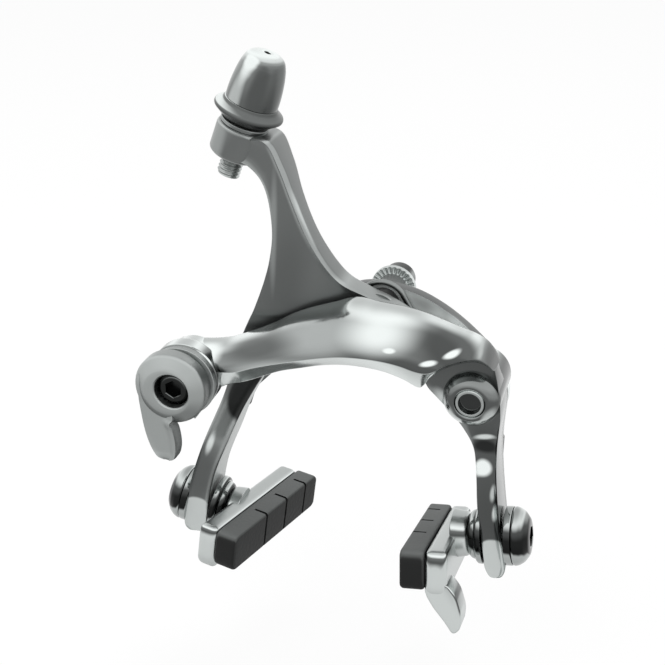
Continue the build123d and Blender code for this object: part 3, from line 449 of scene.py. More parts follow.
def metal(name, tint, ramp, roughness, lobes=(), spots=(), mottle=0.04, grain=0.0, metallic=1.0):
    """Polished metal with painted reflections: its base colour is painted lighter and darker by the way the
    surface faces, standing in for a studio's reflections.

    The ramp paints reflection tones by the upward part of the normal, the lobes paint highlights and
    reflections round single directions, and the spots paint soft ellipses of highlight and shade at places in
    the front view, in millimetres.
    """
    material, tree, shader = new_material(name, roughness, metallic)
    normal = add_node(tree, "ShaderNodeNewGeometry").outputs["Normal"]
    place = add_node(tree, "ShaderNodeTexCoord").outputs["Object"]

    def along(direction):
        size = math.sqrt(sum(v * v for v in direction))
        unit = tuple(v / size for v in direction)
        dot = add_node(tree, "ShaderNodeVectorMath", {0: normal, 1: unit}, operation="DOT_PRODUCT")
        return dot.outputs["Value"]

    def spread(value, low, high):
        limits = {"From Min": low, "From Max": high, "Value": value}
        return add_node(tree, "ShaderNodeMapRange", limits, interpolation_type="SMOOTHSTEP").outputs["Result"]

    def blend(mask, weight, colour, level):
        inputs = {"Factor": multiply(tree, mask, weight), "A": colour, "B": tone(level, tint)}
        return add_node(tree, "ShaderNodeMix", inputs, data_type="RGBA").outputs["Result"]

    # Painted reflections: the base colour is looked up in the ramp by the upward part of the normal, shifted
    # a little by noise
    cloud = add_node(tree, "ShaderNodeTexNoise", {"Scale": 110.0, "Detail": 2.0, "Vector": place})
    terms = {0: cloud.outputs["Fac"], 1: mottle * 2, 2: along((0.0, 0.0, 1.0))}
    shift = add_node(tree, "ShaderNodeMath", terms, operation="MULTIPLY_ADD").outputs["Value"]
    limits = {"From Min": -1.0 + mottle, "From Max": 1.0 + mottle, "Value": shift}
    centre = add_node(tree, "ShaderNodeMapRange", limits)
    tones = add_node(tree, "ShaderNodeValToRGB", {"Fac": centre.outputs["Result"]})
    tones.color_ramp.interpolation = "EASE"
    while len(tones.color_ramp.elements) < len(ramp):
        tones.color_ramp.elements.new(0.5)
    for element, (position, level) in zip(tones.color_ramp.elements, ramp):
        element.position = position * 0.5 + 0.5
        element.color = tone(level, tint)
    colour = tones.outputs["Color"]
    # Painted highlights, reflections and shade round single directions
    for direction, outer, inner, level, weight in lobes:
        colour = blend(spread(along(direction), outer, inner), weight, colour, level)
    # Painted highlights and painted shade: soft ellipses on faces that look forwards
    if spots:
        ahead = spread(along((0.0, -1.0, 0.0)), 0.0, 0.3)
    for x, z, long_way, short_way, angle, soft, level, weight in spots:
        sizes = {"Location": (x * MM, 0.0, z * MM), "Rotation": (0.0, -math.radians(angle), 0.0),
                 "Scale": (long_way * MM, 1000.0, short_way * MM), "Vector": place}
        local = add_node(tree, "ShaderNodeMapping", sizes, vector_type="TEXTURE").outputs["Vector"]
        reach = add_node(tree, "ShaderNodeVectorMath", {0: local}, operation="LENGTH").outputs["Value"]
        mask = multiply(tree, spread(reach, 1.0 + soft, 1.0 - soft), ahead)
        colour = blend(mask, weight, colour, level)
    if not metallic:
        shader.inputs["Specular IOR Level"].default_value = 0.2
    tree.links.new(colour, shader.inputs["Base Color"])
    if grain:
        fine = add_node(tree, "ShaderNodeTexNoise", {"Scale": 900.0, "Vector": place}).outputs["Fac"]
        bump = add_node(tree, "ShaderNodeBump", {"Strength": grain, "Distance": 0.0002, "Height": fine})
        tree.links.new(bump.outputs["Normal"], shader.inputs["Normal"])
    return material


def plain(name, colour, roughness):
    """One even colour, a little cloudy."""
    material, tree, shader = new_material(name, roughness, 0.0)
    place = add_node(tree, "ShaderNodeTexCoord").outputs["Object"]
    cloud = add_node(tree, "ShaderNodeTexNoise", {"Scale": 600.0, "Detail": 4.0, "Vector": place})
    tones = add_node(tree, "ShaderNodeValToRGB", {"Fac": cloud.outputs["Fac"]})
    tones.color_ramp.elements[0].color = (*[c * 0.8 for c in colour], 1.0)
    tones.color_ramp.elements[1].color = (*[min(1.0, c * 1.2) for c in colour], 1.0)
    tree.links.new(tones.outputs["Color"], shader.inputs["Base Color"])
    return material


# Painted reflections and painted shading in the base colour: tones by the upward part of the normal, from -1
# below to 1 above
PAINTED_LIGHT_RAMPS = {
    "forged": [(-1.0, 0.45), (-0.85, 0.6), (-0.6, 0.86), (-0.4, 0.7), (-0.22, 0.3), (0.1, 0.34), (0.3, 0.5),
               (0.55, 0.6), (0.8, 0.62), (0.93, 0.95), (1.0, 0.75)],
    "rear": [(-1.0, 0.4), (-0.7, 0.5), (-0.3, 0.42), (0.0, 0.4), (0.15, 0.45), (0.4, 0.58), (0.7, 0.75),
             (1.0, 0.6)],
    "plate": [(-1.0, 0.5), (-0.3, 0.6), (0.0, 0.9), (0.3, 0.98), (0.6, 0.4), (1.0, 0.34)],
    "turned": [(-1.0, 0.25), (-0.3, 0.3), (0.0, 0.38), (0.25, 0.48), (0.5, 0.6), (0.7, 0.86), (0.9, 0.98),
               (1.0, 0.92)],
    "flare": [(-1.0, 0.2), (-0.1, 0.3), (0.3, 0.38), (0.75, 0.46), (0.95, 0.95), (1.0, 0.95)],
    "satin": [(-1.0, 0.4), (-0.4, 0.5), (0.0, 0.62), (0.4, 0.72), (0.7, 0.78), (1.0, 0.66)],
    "pale": [(-1.0, 0.5), (-0.25, 0.72), (0.3, 0.8), (0.46, 0.34), (0.58, 0.42), (0.7, 0.97), (0.84, 0.8),
             (1.0, 0.72)],
    "nut": [(-1.0, 0.35), (-0.5, 0.62), (-0.15, 0.66), (-0.02, 0.12), (0.35, 0.14), (0.6, 0.3), (0.8, 0.85),
            (1.0, 0.6)],
    "steel": [(-1.0, 0.45), (0.0, 0.6), (0.5, 0.85), (1.0, 0.6)],
    "pivot": [(-1.0, 0.9), (-0.4, 0.5), (0.1, 0.62), (0.62, 0.8), (0.8, 0.98), (1.0, 0.5)],
    "wire": [(-1.0, 0.35), (0.0, 0.48), (0.6, 0.62), (1.0, 0.6)],
    "dark": [(-1.0, 0.15), (0.0, 0.22), (0.45, 0.6), (0.75, 0.2), (1.0, 0.3)],
    "zinc": [(-1.0, 0.6), (0.0, 0.8), (0.5, 0.9), (1.0, 0.8)],
    "oxide": [(-1.0, 0.1), (0.0, 0.16), (0.6, 0.5), (1.0, 0.2)],
    # Painted light on the brake rubber: its top is painted lighter, as if lit from above
    "rubber": [(-1.0, 0.08), (-0.2, 0.12), (0.2, 0.17), (0.6, 0.3), (0.9, 0.4), (1.0, 0.4)],
}
# Painted highlights, painted reflections and painted shade round one direction: direction, cosine where it
# starts, cosine where it is full, level, weight
# Painted reflection on faces that look backwards
PAINTED_BACK_REFLECTION = ((0.0, 1.0, 0.0), 0.3, 0.8, 0.5, 0.8)
PAINTED_LIGHT_LOBES = {
    "rear": [((1.0, -0.1, 0.45), 0.8, 0.95, 0.47, 0.9), ((0.75, -0.65, 0.3), 0.9, 0.98, 0.66, 0.9),
             ((-0.7, -0.7, 0.0), 0.8, 0.95, 0.62, 0.8), ((1.0, 0.0, -0.35), 0.9, 0.98, 0.72, 0.9), PAINTED_BACK_REFLECTION],
    "forged": [((1.0, 0.0, 0.4), 0.8, 0.97, 0.33, 0.9), ((1.0, 0.0, -0.2), 0.9, 0.98, 0.6, 0.9), PAINTED_BACK_REFLECTION],
    "turned": [((-0.45, -0.88, 0.1), 0.93, 0.99, 0.74, 0.9), ((0.35, -0.93, 0.0), 0.92, 0.99, 0.32, 0.8),
               ((-0.15, -0.8, 0.58), 0.9, 0.97, 1.0, 0.9), ((1.0, -0.1, 0.0), 0.85, 0.98, 0.46, 0.7)],
    "satin": [((1.0, 0.0, 0.0), 0.7, 0.95, 0.42, 0.8)],
    # Painted shade on the brake rubber's front face
    "rubber": [((0.0, -1.0, 0.0), 0.75, 0.9, 0.07, 0.9)],
}
# Painted shade: a dark disc painted over the pivot screw's socket
PIVOT_PAINTED_SHADE = [(*PIVOT, 2.75, 2.75, 0.0, 0.08, 0.16, 0.95)]
MATERIALS = {}


def make_materials(finishes):
    """One material for each of the record's finishes, and some for single pieces."""
    def add(key, name, ramp, roughness, **more):
        MATERIALS[key] = metal(name, finishes.metal_tint, PAINTED_LIGHT_RAMPS[ramp], roughness, **more)

    # The metals' and the rubber's base colours carry painted reflections, painted highlights and painted
    # shade from their ramps, lobes and spots
    add("arm_polished", "Polished forged aluminium of the rear arm", "rear", 0.32, lobes=PAINTED_LIGHT_LOBES["rear"],
        spots=REAR_ARM_PAINTED_REFLECTIONS, mottle=0.03, metallic=0.85)
    add("front_arm", "Polished forged aluminium of the front arm", "forged", 0.16, lobes=PAINTED_LIGHT_LOBES["forged"],
        spots=FRONT_ARM_PAINTED_REFLECTIONS, mottle=0.03)
    add("bridge", "Polished bridge plate", "plate", 0.3, lobes=[PAINTED_BACK_REFLECTION], spots=BRIDGE_PAINTED_REFLECTIONS, mottle=0.1,
        metallic=0.1)
    add("cap", "Polished turned aluminium", "turned", 0.2, lobes=PAINTED_LIGHT_LOBES["turned"], mottle=0.02)
    add("flare_ring", "Turned metal of the flared ring", "flare", 0.3, mottle=0.02)
    add("lever_satin", "Satin grey aluminium", "satin", 0.42, lobes=PAINTED_LIGHT_LOBES["satin"], mottle=0.03, grain=0.2)
    add("holder_satin", "Satin pale aluminium", "pale", 0.3, mottle=0.03, grain=0.1)
    add("chrome_nut", "Bright plated steel", "nut", 0.1, mottle=0.02)
    add("steel_bright", "Turned steel", "steel", 0.28, mottle=0.05, grain=0.1)
    add("pivot_steel", "Steel of the pivot screw", "pivot", 0.25, spots=PIVOT_PAINTED_SHADE, mottle=0.05)
    add("spring_wire", "Spring wire", "wire", 0.35, mottle=0.03)
    add("nut_dark", "Dark steel", "dark", 0.25, mottle=0.03)
    add("washer_zinc", "Zinc plated steel", "zinc", 0.35, mottle=0.05)
    add("bolt_black", "Black oxide steel", "oxide", 0.25)
    add("pad_rubber", "Brake rubber", "rubber", 0.6, lobes=PAINTED_LIGHT_LOBES["rubber"], mottle=0.05, grain=0.5,
        metallic=0.0)
    MATERIALS["plastic_black"] = plain("Black plastic", finishes.plastic_colour, 0.5)


def dress_solids():
    """Give every CAD node that stays its finish."""
    for entry in frame["record"]["subparts"]:
        node = frame["nodes"].get(entry["node"])
        if node is None:
            continue
        node.data.materials.clear()
        finish = "spring_wire" if entry["node"] == "return_spring" else entry["material_slot"]
        node.data.materials.append(MATERIALS[finish])


def build_rear_arm(arms):
    """Rear arm: the upper arm, hub and left leg as one strip, with the round cable stop."""
    shells = [strip(REAR_ARM_ROWS, arms.edge_round / MM, 0.5, 0.8, dish=arms.dish / MM)]
    boss = [(0, -8.4), (5.6, -8.4), (6.6, -7.6), (6.6, -0.7), (6.0, 0), (0, 0)]
    shells.append(lathe(Place(STOP_ORIGIN, (1, 0, 0), STOP_AXIS), boss, 0.5))
    add_piece("rear_arm", shells, "y_arm", "arm_polished", "y_arm")


def build_front_arm(arms):
    """Front arm: the arch, the right leg, the pivot's cone and the anchor boss."""
    shells = [arch(ARCH_ROWS), strip(RIGHT_LEG_ROWS, 0.9, 1.2, 0.8, dish=arms.leg_dish / MM)]
    hole, cone, back, top = 3.75, 7.2, 11.5, LEG_FRONT + 2.4
    boss = [(hole, back), (cone, back), (cone, LEG_FRONT - 0.6), (6.8, LEG_FRONT + 0.5),
            (5.8, LEG_FRONT + 1.7), (4.7, top), (hole, top)]
    shells.append(lathe(facing(*PIVOT, 0), boss, 0.5, closed=True))
    boss = [(0, 26.0), (7.7, 26.0), (8.2, 31.0), (9.2, 31.4), (9.2, 35.6), (0, 35.6)]
    shells.append(lathe(facing(*ANCHOR, 0), boss, 0.6))
    add_piece("front_arm", shells, "c_arm", "arm_polished", "c_arm", "front_arm")


def build_bridge(arms):
    """Bridge plate: a curved plate behind both arms, and the boss behind it."""
    shells = [strip(BRIDGE_ROWS, arms.bridge_round / MM, 1.1, 1.0, dish=0.3)]
    boss = [(BORE, 1.6), (4.2, 1.6), (4.2, 8.0), (BORE, 8.0)]
    shells.append(lathe(facing(0, 0, 0), boss, 0.2, closed=True))
    add_piece("bridge_piece", shells, "mounting", "arm_polished", "bridge_plate", "bridge")


def build_adjuster(fittings):
    """Cable adjuster: thin washer, flared ring, domed cap and a barrel with its thread.

    The thread's radius falls and rises evenly once a pitch, and once a turn, by its depth.
    """
    stop = Place(STOP_ORIGIN, (1, 0, 0), STOP_AXIS)
    washer = [(SHAFT, 0.05), (6.1, 0.05), (6.1, 1.05), (SHAFT, 1.05)]
    add_piece("adjuster_collar", [lathe(stop, washer, 0.3, closed=True)], "adjuster_seat", "arm_polished",
              "adjuster_washer")
    base, cap = 1.1, 6.3
    ring = [(SHAFT, base), (5.5, base), (7.9, base + 1.9), (8.8, base + 2.6), (8.7, base + 3.3),
            (7.9, base + 3.8), (7.0, base + 4.5), (6.7, cap), (SHAFT, cap)]
    add_piece("adjuster_flare", [lathe(stop, ring, 0.5, closed=True)], "adjuster", "arm_polished",
              "adjuster_ring", "flare_ring")
    dome = smooth_curve([(6.6, cap), (6.6, cap + 2.0), (6.4, cap + 4.8), (6.0, cap + 7.6), (5.4, cap + 10.0),
                         (4.6, cap + 11.6), (3.2, cap + 12.5), (1.5, cap + 12.8)], 8)
    profile = np.vstack([[(0.8, cap)], dome, [(0.8, cap + 12.7)]])
    add_piece("adjuster_dome", [lathe(stop, profile, 0.2, closed=True)], "adjuster", "arm_polished",
              "adjuster_cap", "cap")
    low, core, crest, depth, sides = -13.6, 1.2, 2.95, 0.42, 48
    rows = np.linspace(low, base, 420)
    angle = circle(sides)
    turns = rows[:, None] / (fittings.thread_pitch / MM) - angle[None] / (2 * np.pi)
    radius = crest - depth * (np.abs(turns % 1.0 - 0.5) * 2)
    radius[0] = core
    radius = np.vstack([radius, np.full((1, sides), core)])
    rows = np.append(rows, base)
    points = stop.at(radius * np.cos(angle), radius * np.sin(angle), rows[:, None] + 0 * angle)
    add_piece("adjuster_thread", [(points, grid_faces(len(rows), sides, wrap_rows=True))], "adjuster",
              "steel_bright", "adjuster_barrel")


def build_lever(fittings):
    """Quick-release lever: an eccentric hub with a broad bevel and a hole, and the lever below it."""
    t = fittings.hub_thickness / MM
    rim = rounded([(9.1, 0), (9.5, 0.4), (9.5, t - 2.5), (9.1, t - 1.9), (6.6, t - 0.3), (6.0, t)], 0.35)
    hole = rounded([(4.9, t), (4.5, t - 0.4), (4.5, 0)], 0.3)
    angle = circle(SIDES)
    rings = []
    for profile, centre in ((rim, (HUB[0] - ANCHOR[0], HUB[1] - ANCHOR[1])), (hole, (0, 0))):
        r, h = profile[:, :1], profile[:, 1:]
        rings.append(facing(*ANCHOR, LEVER_BACK).at(centre[0] + r * np.cos(angle),
                                                    centre[1] + r * np.sin(angle), h + 0 * angle))
    points = np.concatenate(rings)
    shells = [(points, grid_faces(len(points), SIDES, wrap_rows=True))]
    shells.append(strip(LEVER_ROWS, 0.9, 0.8, 0.8, dish=0.5, lip=0.5, origin=HUB))
    add_piece("release_lever", shells, "qr_lever", "lever_satin", "qr_lever")


def socket_head(place, profile, socket, depth, radius=0.3):
    """A turned head whose top ends in a hexagon socket of this size and depth."""
    p = rounded(profile, radius)
    angle = circle(SIDES)
    corner = (angle + np.pi / 6) % (np.pi / 3) - np.pi / 6
    hexa = socket / 2 / np.cos(corner)
    top = p[-1, 1]
    radii = np.vstack([np.repeat(p[:, :1], SIDES, 1), hexa + 0.15, hexa, hexa, hexa * 0.0])
    heights = np.concatenate([p[:, 1], [top, top - 0.15, top - depth, top - depth]])
    points = place.at(radii * np.cos(angle), radii * np.sin(angle), heights[:, None] + 0 * angle)
    return points, grid_faces(len(heights), SIDES)


def build_pivot_and_anchor(fittings):
    """Side pivot screw, cable anchor bolt and its washer."""
    seat, wide = LEG_FRONT - 1.2, 3.7
    head = seat + 3.6
    socket = fittings.pivot_socket / MM / 2
    screw = [(0, 6.6), (SHAFT, 6.6), (SHAFT, seat), (wide, seat), (wide, head - 0.4), (3.4, head),
             (socket + 0.1, head), (socket, head - 2.2), (0, head - 2.6)]
    add_piece("pivot_screw", [lathe(facing(*PIVOT, 0), screw, 0.15)], "mounting", "steel_bright",
              "side_pivot_screw", "pivot_steel")
    anchor = facing(*ANCHOR, 0)
    front, back, wide = ANCHOR_WASHER_FRONT, 37.2, 9.3
    washer = [(BORE, back), (wide, back), (wide, front), (BORE, front)]
    add_piece("anchor_ring", [lathe(anchor, washer, closed=True)], "c_arm", "lever_satin", "anchor_washer")
    bolt = [(0, 22.0), (SHAFT, 22.0), (SHAFT, front), (4.3, front), (4.3, front + 3.6), (3.4, front + 4.6),
            (2.6, front + 4.6)]
    add_piece("anchor_screw", [socket_head(anchor, bolt, fittings.anchor_socket / MM, 2.6)], "c_arm",
              "bolt_black", "anchor_bolt")


def bolt_place(shoe, distance, outwards):
    """A frame on the shoe bolt's axis, at this distance from the leg's middle."""
    angle = math.radians(shoe["lean"])
    axis = np.array([shoe["side"] * math.cos(angle), 0.0, math.sin(angle)])
    origin = np.array([shoe["bolt"][0], -SHOE_STATION, shoe["bolt"][1]]) + axis * distance
    return Place(origin, (0, -1, 0), axis if outwards else -axis)


def shoe_place(shoe):
    """The frame of a braking face: x along the shoe to the back, axis outwards to the holder."""
    toe, pitch = math.radians(shoe["toe"]), math.radians(shoe["pitch"])
    along = np.array([math.sin(toe), math.cos(toe) * math.cos(pitch), math.sin(pitch)])
    level = np.array([shoe["side"] * math.cos(SHOE_ROLL), 0.0, math.sin(SHOE_ROLL)])
    across = level - along * (along @ level) / (along @ along)
    return Place((shoe["pad"][0], -SHOE_STATION, shoe["pad"][1]), along, across)


def bar(place, length, height, low, high, corner, edge, grooves=(), groove_depth=0.0, drop=0.0):
    """A bar with rounded ends and edges, and slots sunk into its low side.

    Each section across the bar is a rounded rectangle, narrower where the plan's corner arcs are.
    """
    half = length / 2
    turn = np.linspace(0, np.pi / 2, 9)
    ends = half - corner * (1 - np.sin(turn))
    cuts = []
    for place_along, width in grooves:
        for side in (-1, 1):
            cuts += [place_along + side * (width / 2 + 0.02), place_along + side * width / 2]
    along = np.unique(np.round(np.concatenate([-ends, ends, cuts, np.linspace(-half, half, 24)]), 4))
    reach = np.clip(np.abs(along) - (half - corner), 0, corner)
    inset = corner - np.sqrt(np.maximum(corner ** 2 - reach ** 2, 0))
    half_height = np.maximum(height / 2 - inset, 0.4)
    t = np.linspace(0, np.pi / 2, 5)
    unit = []
    for sy, sz, order in ((1, 1, t), (-1, 1, t[::-1]), (-1, -1, t), (1, -1, t[::-1])):
        unit += [(sy, sz, math.cos(a), math.sin(a)) for a in order]
    unit = np.array(unit)
    end_gap = half - np.abs(along)
    squeeze = edge - np.sqrt(np.maximum(edge ** 2 - np.clip(edge - end_gap, 0, edge) ** 2, 0))
    mid, span = (low + high) / 2, (high - low) / 2
    room_y, room_z = (half_height - squeeze)[:, None], (span - squeeze)[:, None]
    ease = np.minimum(edge, 0.9 * np.minimum(room_y, room_z))
    y = unit[:, 0] * (room_y - ease * (1 - unit[:, 2]))
    z = mid + unit[:, 1] * (room_z - ease * (1 - unit[:, 3]))
    for place_along, width in grooves:
        inside = np.abs(along - place_along) <= width / 2 + 1e-3
        z[inside] = np.maximum(z[inside], low + groove_depth)
    points = place.at(along[:, None] + 0 * y, y - drop, z)
    count = y.shape[1]
    faces = [tuple(f) for f in grid_faces(len(along), count)]
    faces.append(tuple(range(count)))
    faces.append(tuple(range((len(along) - 1) * count, len(along) * count)))
    return points, faces


def build_shoes(shoes):
    """Both shoes: pad, holder, stud, washers and the socket nut outside the leg."""
    long_way, high, thick = shoes.pad_length / MM, shoes.pad_height / MM, shoes.pad_thickness / MM
    groove, sunk = shoes.groove_width / MM, shoes.groove_depth / MM
    grooves = [(-6.5, groove), (4.5, groove), (15.5, groove)]
    holder_thick, holder_drop, bolt_reach, washer_wide = 5.6, 1.0, 11.8, 7.7
    dome = [(0, 1.95), (7.5, 1.95), (washer_wide, 2.5), (7.4, 3.6), (6.5, 4.9), (4.8, 6.1), (3.3, 6.35)]
    outer_ring = [(BORE, 0), (washer_wide, 0), (washer_wide, 1.9), (BORE, 1.9)]
    inner_ring = [(BORE, 0), (washer_wide, 0), (7.6, 1.3), (7.1, 1.8), (BORE, 1.8)]
    dome_ring = [(BORE, 1.85), (6.6, 1.85), (6.3, 3.0), (5.6, 3.65), (BORE, 3.65)]
    for side, shoe in SHOES.items():
        body = shoe["body"]
        out = bolt_place(shoe, shoe["leg"] / 2, True)
        inside = bolt_place(shoe, -shoe["leg"] / 2, False)
        place = shoe_place(shoe)
        up = 1.0 if place.y[2] > 0 else -1.0
        nut = socket_head(out, dome, 5.0, 1.8, 0.5)
        add_piece(f"{side}_nut", [nut], body, "chrome_nut", f"{side}_shoe_nut")
        for name, node, axis, profile, corner in (("outer_ring", "outer_washer", out, outer_ring, 0.3),
                                                  ("inner_ring", "inner_washer", inside, inner_ring, 0.3),
                                                  ("dome_ring", "domed_washer", inside, dome_ring, 0.4)):
            ring = lathe(axis, profile, corner, closed=True)
            add_piece(f"{side}_{name}", [ring], body, "chrome_nut", f"{side}_{node}")
        pad = bar(place, long_way, high, 0.0, thick, 2.4, 0.9, grooves, sunk)
        add_piece(f"{side}_pad", [pad], body, "pad_rubber", f"{side}_brake_pad", sharp=50.0)
        reach = abs((place.origin + place.z * bolt_reach - inside.origin) @ inside.z) + 1.0
        holder = [bar(place, long_way - 1.0, high + 1.8, thick, thick + holder_thick, 2.4, 1.6,
                      drop=up * holder_drop)]
        holder.append(lathe(inside, [(0, 3.7), (5.2, 3.7), (5.8, 4.4), (6.4, reach), (0, reach)], 0.4))
        if side == "right":
            base = up * 6.1
            fin = [(-5.4, base * 0.5), (-5.4, base), (-3.4, base + up * 3.3), (-0.4, base + up * 7.0),
                   (1.6, base + up * 10.0), (3.5, base + up * 8.5), (3.8, base + up * 4.7), (2.4, base),
                   (0, base * 0.5)]
            end = Place(place.origin + place.z * bolt_reach - place.x * 22.0, place.z, place.x)
            holder.append(prism(end, rounded(fin, 1.2, True), 9.0, 0.5))
        add_piece(f"{side}_holder", holder, body, "holder_satin", f"{side}_shoe_holder")


def build_seat(fittings):
    """Toothed washer, whose teeth are a softened square wave of the angle, and the nut behind it."""
    sides, depth = 360, 0.5
    angle = circle(sides)
    teeth = 0.5 + 0.5 * np.tanh(2 * np.sin(angle * fittings.washer_teeth))
    profile = np.array([(BORE, 0, 0), (6.0, 0, 0), (6.0, 0.8, 0), (5.9, 1.5, 1), (4.3, 1.6, 1), (4.0, 1.6, 0),
                        (BORE, 1.6, 0)])
    r, height, toothed = profile[:, 0:1], profile[:, 1:2], profile[:, 2:3]
    points = facing(0, 0, 0).at(r * np.cos(angle), r * np.sin(angle), height - toothed * depth * teeth)
    add_piece("seat_washer", [(points, grid_faces(len(profile), sides, wrap_rows=True))], "mounting",
              "washer_zinc", "toothed_washer")
    back = Place((0, 0, 0), (1, 0, 0), (0, 1, 0))
    nut = [(0, 2.25), (4.0, 2.25), (4.3, 2.6), (4.3, 6.9), (3.8, 7.55), (3.2, 7.55)]
    add_piece("seat_nut", [socket_head(back, nut, 5.0, 2.2)], "mounting", "nut_dark", "mounting_nut")


def view_axes(azimuth, elevation):
    """The forward, right and up directions of an upright camera at this azimuth and elevation."""
    level = math.cos(elevation)
    forward = np.array([-math.sin(azimuth) * level, math.cos(azimuth) * level, -math.sin(elevation)])
    right = np.array([math.cos(azimuth), math.sin(azimuth), 0.0])
    up = np.cross(right, forward)
    return forward, right, up


def white_rays(tree):
    """Whether a ray comes from the camera or a mirror, and whether it goes through glass."""
    path = add_node(tree, "ShaderNodeLightPath")
    seen = greater(tree, path.outputs["Is Camera Ray"], path.outputs["Is Glossy Ray"])
    return seen, path.outputs["Is Transmission Ray"]


def build_stage(stage):
    """Camera at the photograph's angle, a pale floor, soft lamps and a white surround."""
    scene = bpy.context.scene
    forward, right, up = view_axes(stage.azimuth, stage.elevation)
    depth = FOCAL_PX / SEAT_SCALE
    across, down = SEAT_PX[0] - MIDDLE_PX, SEAT_PX[1] - MIDDLE_PX
    place = (np.array([0.0, -1.5, 0.0]) - forward * depth - right * across / FOCAL_PX * depth
             + up * down / FOCAL_PX * depth)
    data = bpy.data.cameras.new("Camera")
    data.sensor_fit = "HORIZONTAL"
    data.sensor_width = 36.0
    data.lens = FOCAL_PX / PICTURE_PX * 36.0
    data.clip_start, data.clip_end = 0.01, 20.0
    camera = bpy.data.objects.new("Camera", data)
    matrix = np.eye(4)
    matrix[:3, 0], matrix[:3, 1], matrix[:3, 2], matrix[:3, 3] = right, up, -forward, place * MM
    camera.matrix_world = Matrix(matrix)
    scene.collection.objects.link(camera)
    scene.camera = camera

    world = bpy.data.worlds.new("Surround")
    scene.world = world
    world.use_nodes = True
    background = world.node_tree.nodes["Background"]
    background.inputs["Color"].default_value = (1.0, 1.0, 1.0, 1.0)
    any_ray = greater(world.node_tree, *white_rays(world.node_tree))
    level = add_node(world.node_tree, "ShaderNodeMapRange", {"To Min": 0.75, "To Max": 1.0, "Value": any_ray})
    world.node_tree.links.new(level.outputs["Result"], background.inputs["Strength"])

    low, half = CAD_BOX[0][2] - stage.floor_drop, 2
    mesh = bpy.data.meshes.new("Floor")
    mesh.from_pydata([(-half, -half, low), (half, -half, low), (half, half, low), (-half, half, low)], [],
                     [(0, 1, 2, 3)])
    floor = bpy.data.objects.new("Floor", mesh)
    scene.collection.objects.link(floor)
    material, tree, shader = new_material("Pale floor", 0.9, 0.0)
    shader.inputs["Base Color"].default_value = (*stage.floor_colour, 1.0)
    glow = add_node(tree, "ShaderNodeEmission")
    share = multiply(tree, white_rays(tree)[0], 0.85)
    mix = add_node(tree, "ShaderNodeMixShader",
                   {"Fac": share, 1: shader.outputs["BSDF"], 2: glow.outputs["Emission"]})
    tree.links.new(mix.outputs["Shader"], tree.nodes["Material Output"].inputs["Surface"])
    mesh.materials.append(material)

    for name, spot, size, power in (("Key", (-0.5, -0.6, 0.8), 1.0, 5.0),
                                    ("Fill", (0.8, -0.7, 0.3), 0.6, 2.5),
                                    ("Top", (0.1, 0.3, 1.0), 0.6, 3.0)):
        lamp = bpy.data.lights.new(name, "AREA")
        lamp.size = size
        lamp.energy = power * stage.lamp_level
        lamp_object = bpy.data.objects.new(name, lamp)
        lamp_object.visible_glossy = False
        way = np.array(spot) / np.linalg.norm(spot)
        side = np.cross((0, 0, 1), way)
        side /= np.linalg.norm(side)
        turn = np.eye(4)
        turn[:3, 0], turn[:3, 1], turn[:3, 2], turn[:3, 3] = side, np.cross(way, side), way, spot
        lamp_object.matrix_world = Matrix(turn)
        scene.collection.objects.link(lamp_object)
    scene.view_settings.view_transform = "Standard"


class FinishSettings(bpy.types.PropertyGroup):
    """Colours of the finishes."""

    metal_tint: bpy.props.FloatVectorProperty(
        name="Metal tint", description="Tint of the metals and the rubber",
        default=(0.95, 1.0, 0.985), min=0.0, max=1.0, subtype="COLOR")
    plastic_colour: bpy.props.FloatVectorProperty(
        name="Plastic", description="Colour of the plastic pieces",
        default=(0.02, 0.02, 0.02), min=0.0, max=1.0, subtype="COLOR")


class ArmSettings(bpy.types.PropertyGroup):
    """Sizes of the forged arms and the bridge plate."""

    edge_round: bpy.props.FloatProperty(
        name="Edge rounding", description="Rounding of the rear arm's outer edge",
        default=0.0016, unit="LENGTH", precision=4)
    dish: bpy.props.FloatProperty(
        name="Face dish", description="How far the rear arm's face is hollowed",
        default=0.0007, unit="LENGTH", precision=4)
    leg_dish: bpy.props.FloatProperty(
        name="Leg dish", description="How far the right leg's face is hollowed",
        default=0.001, unit="LENGTH", precision=4)
    bridge_round: bpy.props.FloatProperty(
        name="Bridge rounding", description="Rounding of the bridge's upper edge",
        default=0.0011, unit="LENGTH", precision=4)


class FittingSettings(bpy.types.PropertyGroup):
    """Sizes of the turned fittings and the lever."""

    thread_pitch: bpy.props.FloatProperty(
        name="Thread pitch", description="Pitch of the adjuster's thread",
        default=0.001, unit="LENGTH", precision=4)
    hub_thickness: bpy.props.FloatProperty(
        name="Hub thickness", description="Thickness of the lever's round hub",
        default=0.006, unit="LENGTH", precision=4)
    pivot_socket: bpy.props.FloatProperty(
        name="Pivot socket", description="Width of the pivot screw's socket",
        default=0.0054, unit="LENGTH", precision=4)
    anchor_socket: bpy.props.FloatProperty(
        name="Anchor socket", description="Key size of the cable anchor bolt",
        default=0.004, unit="LENGTH", precision=4)
    washer_teeth: bpy.props.IntProperty(
        name="Washer teeth", description="Radial teeth on the seat washer",
        default=26, min=6, max=60)


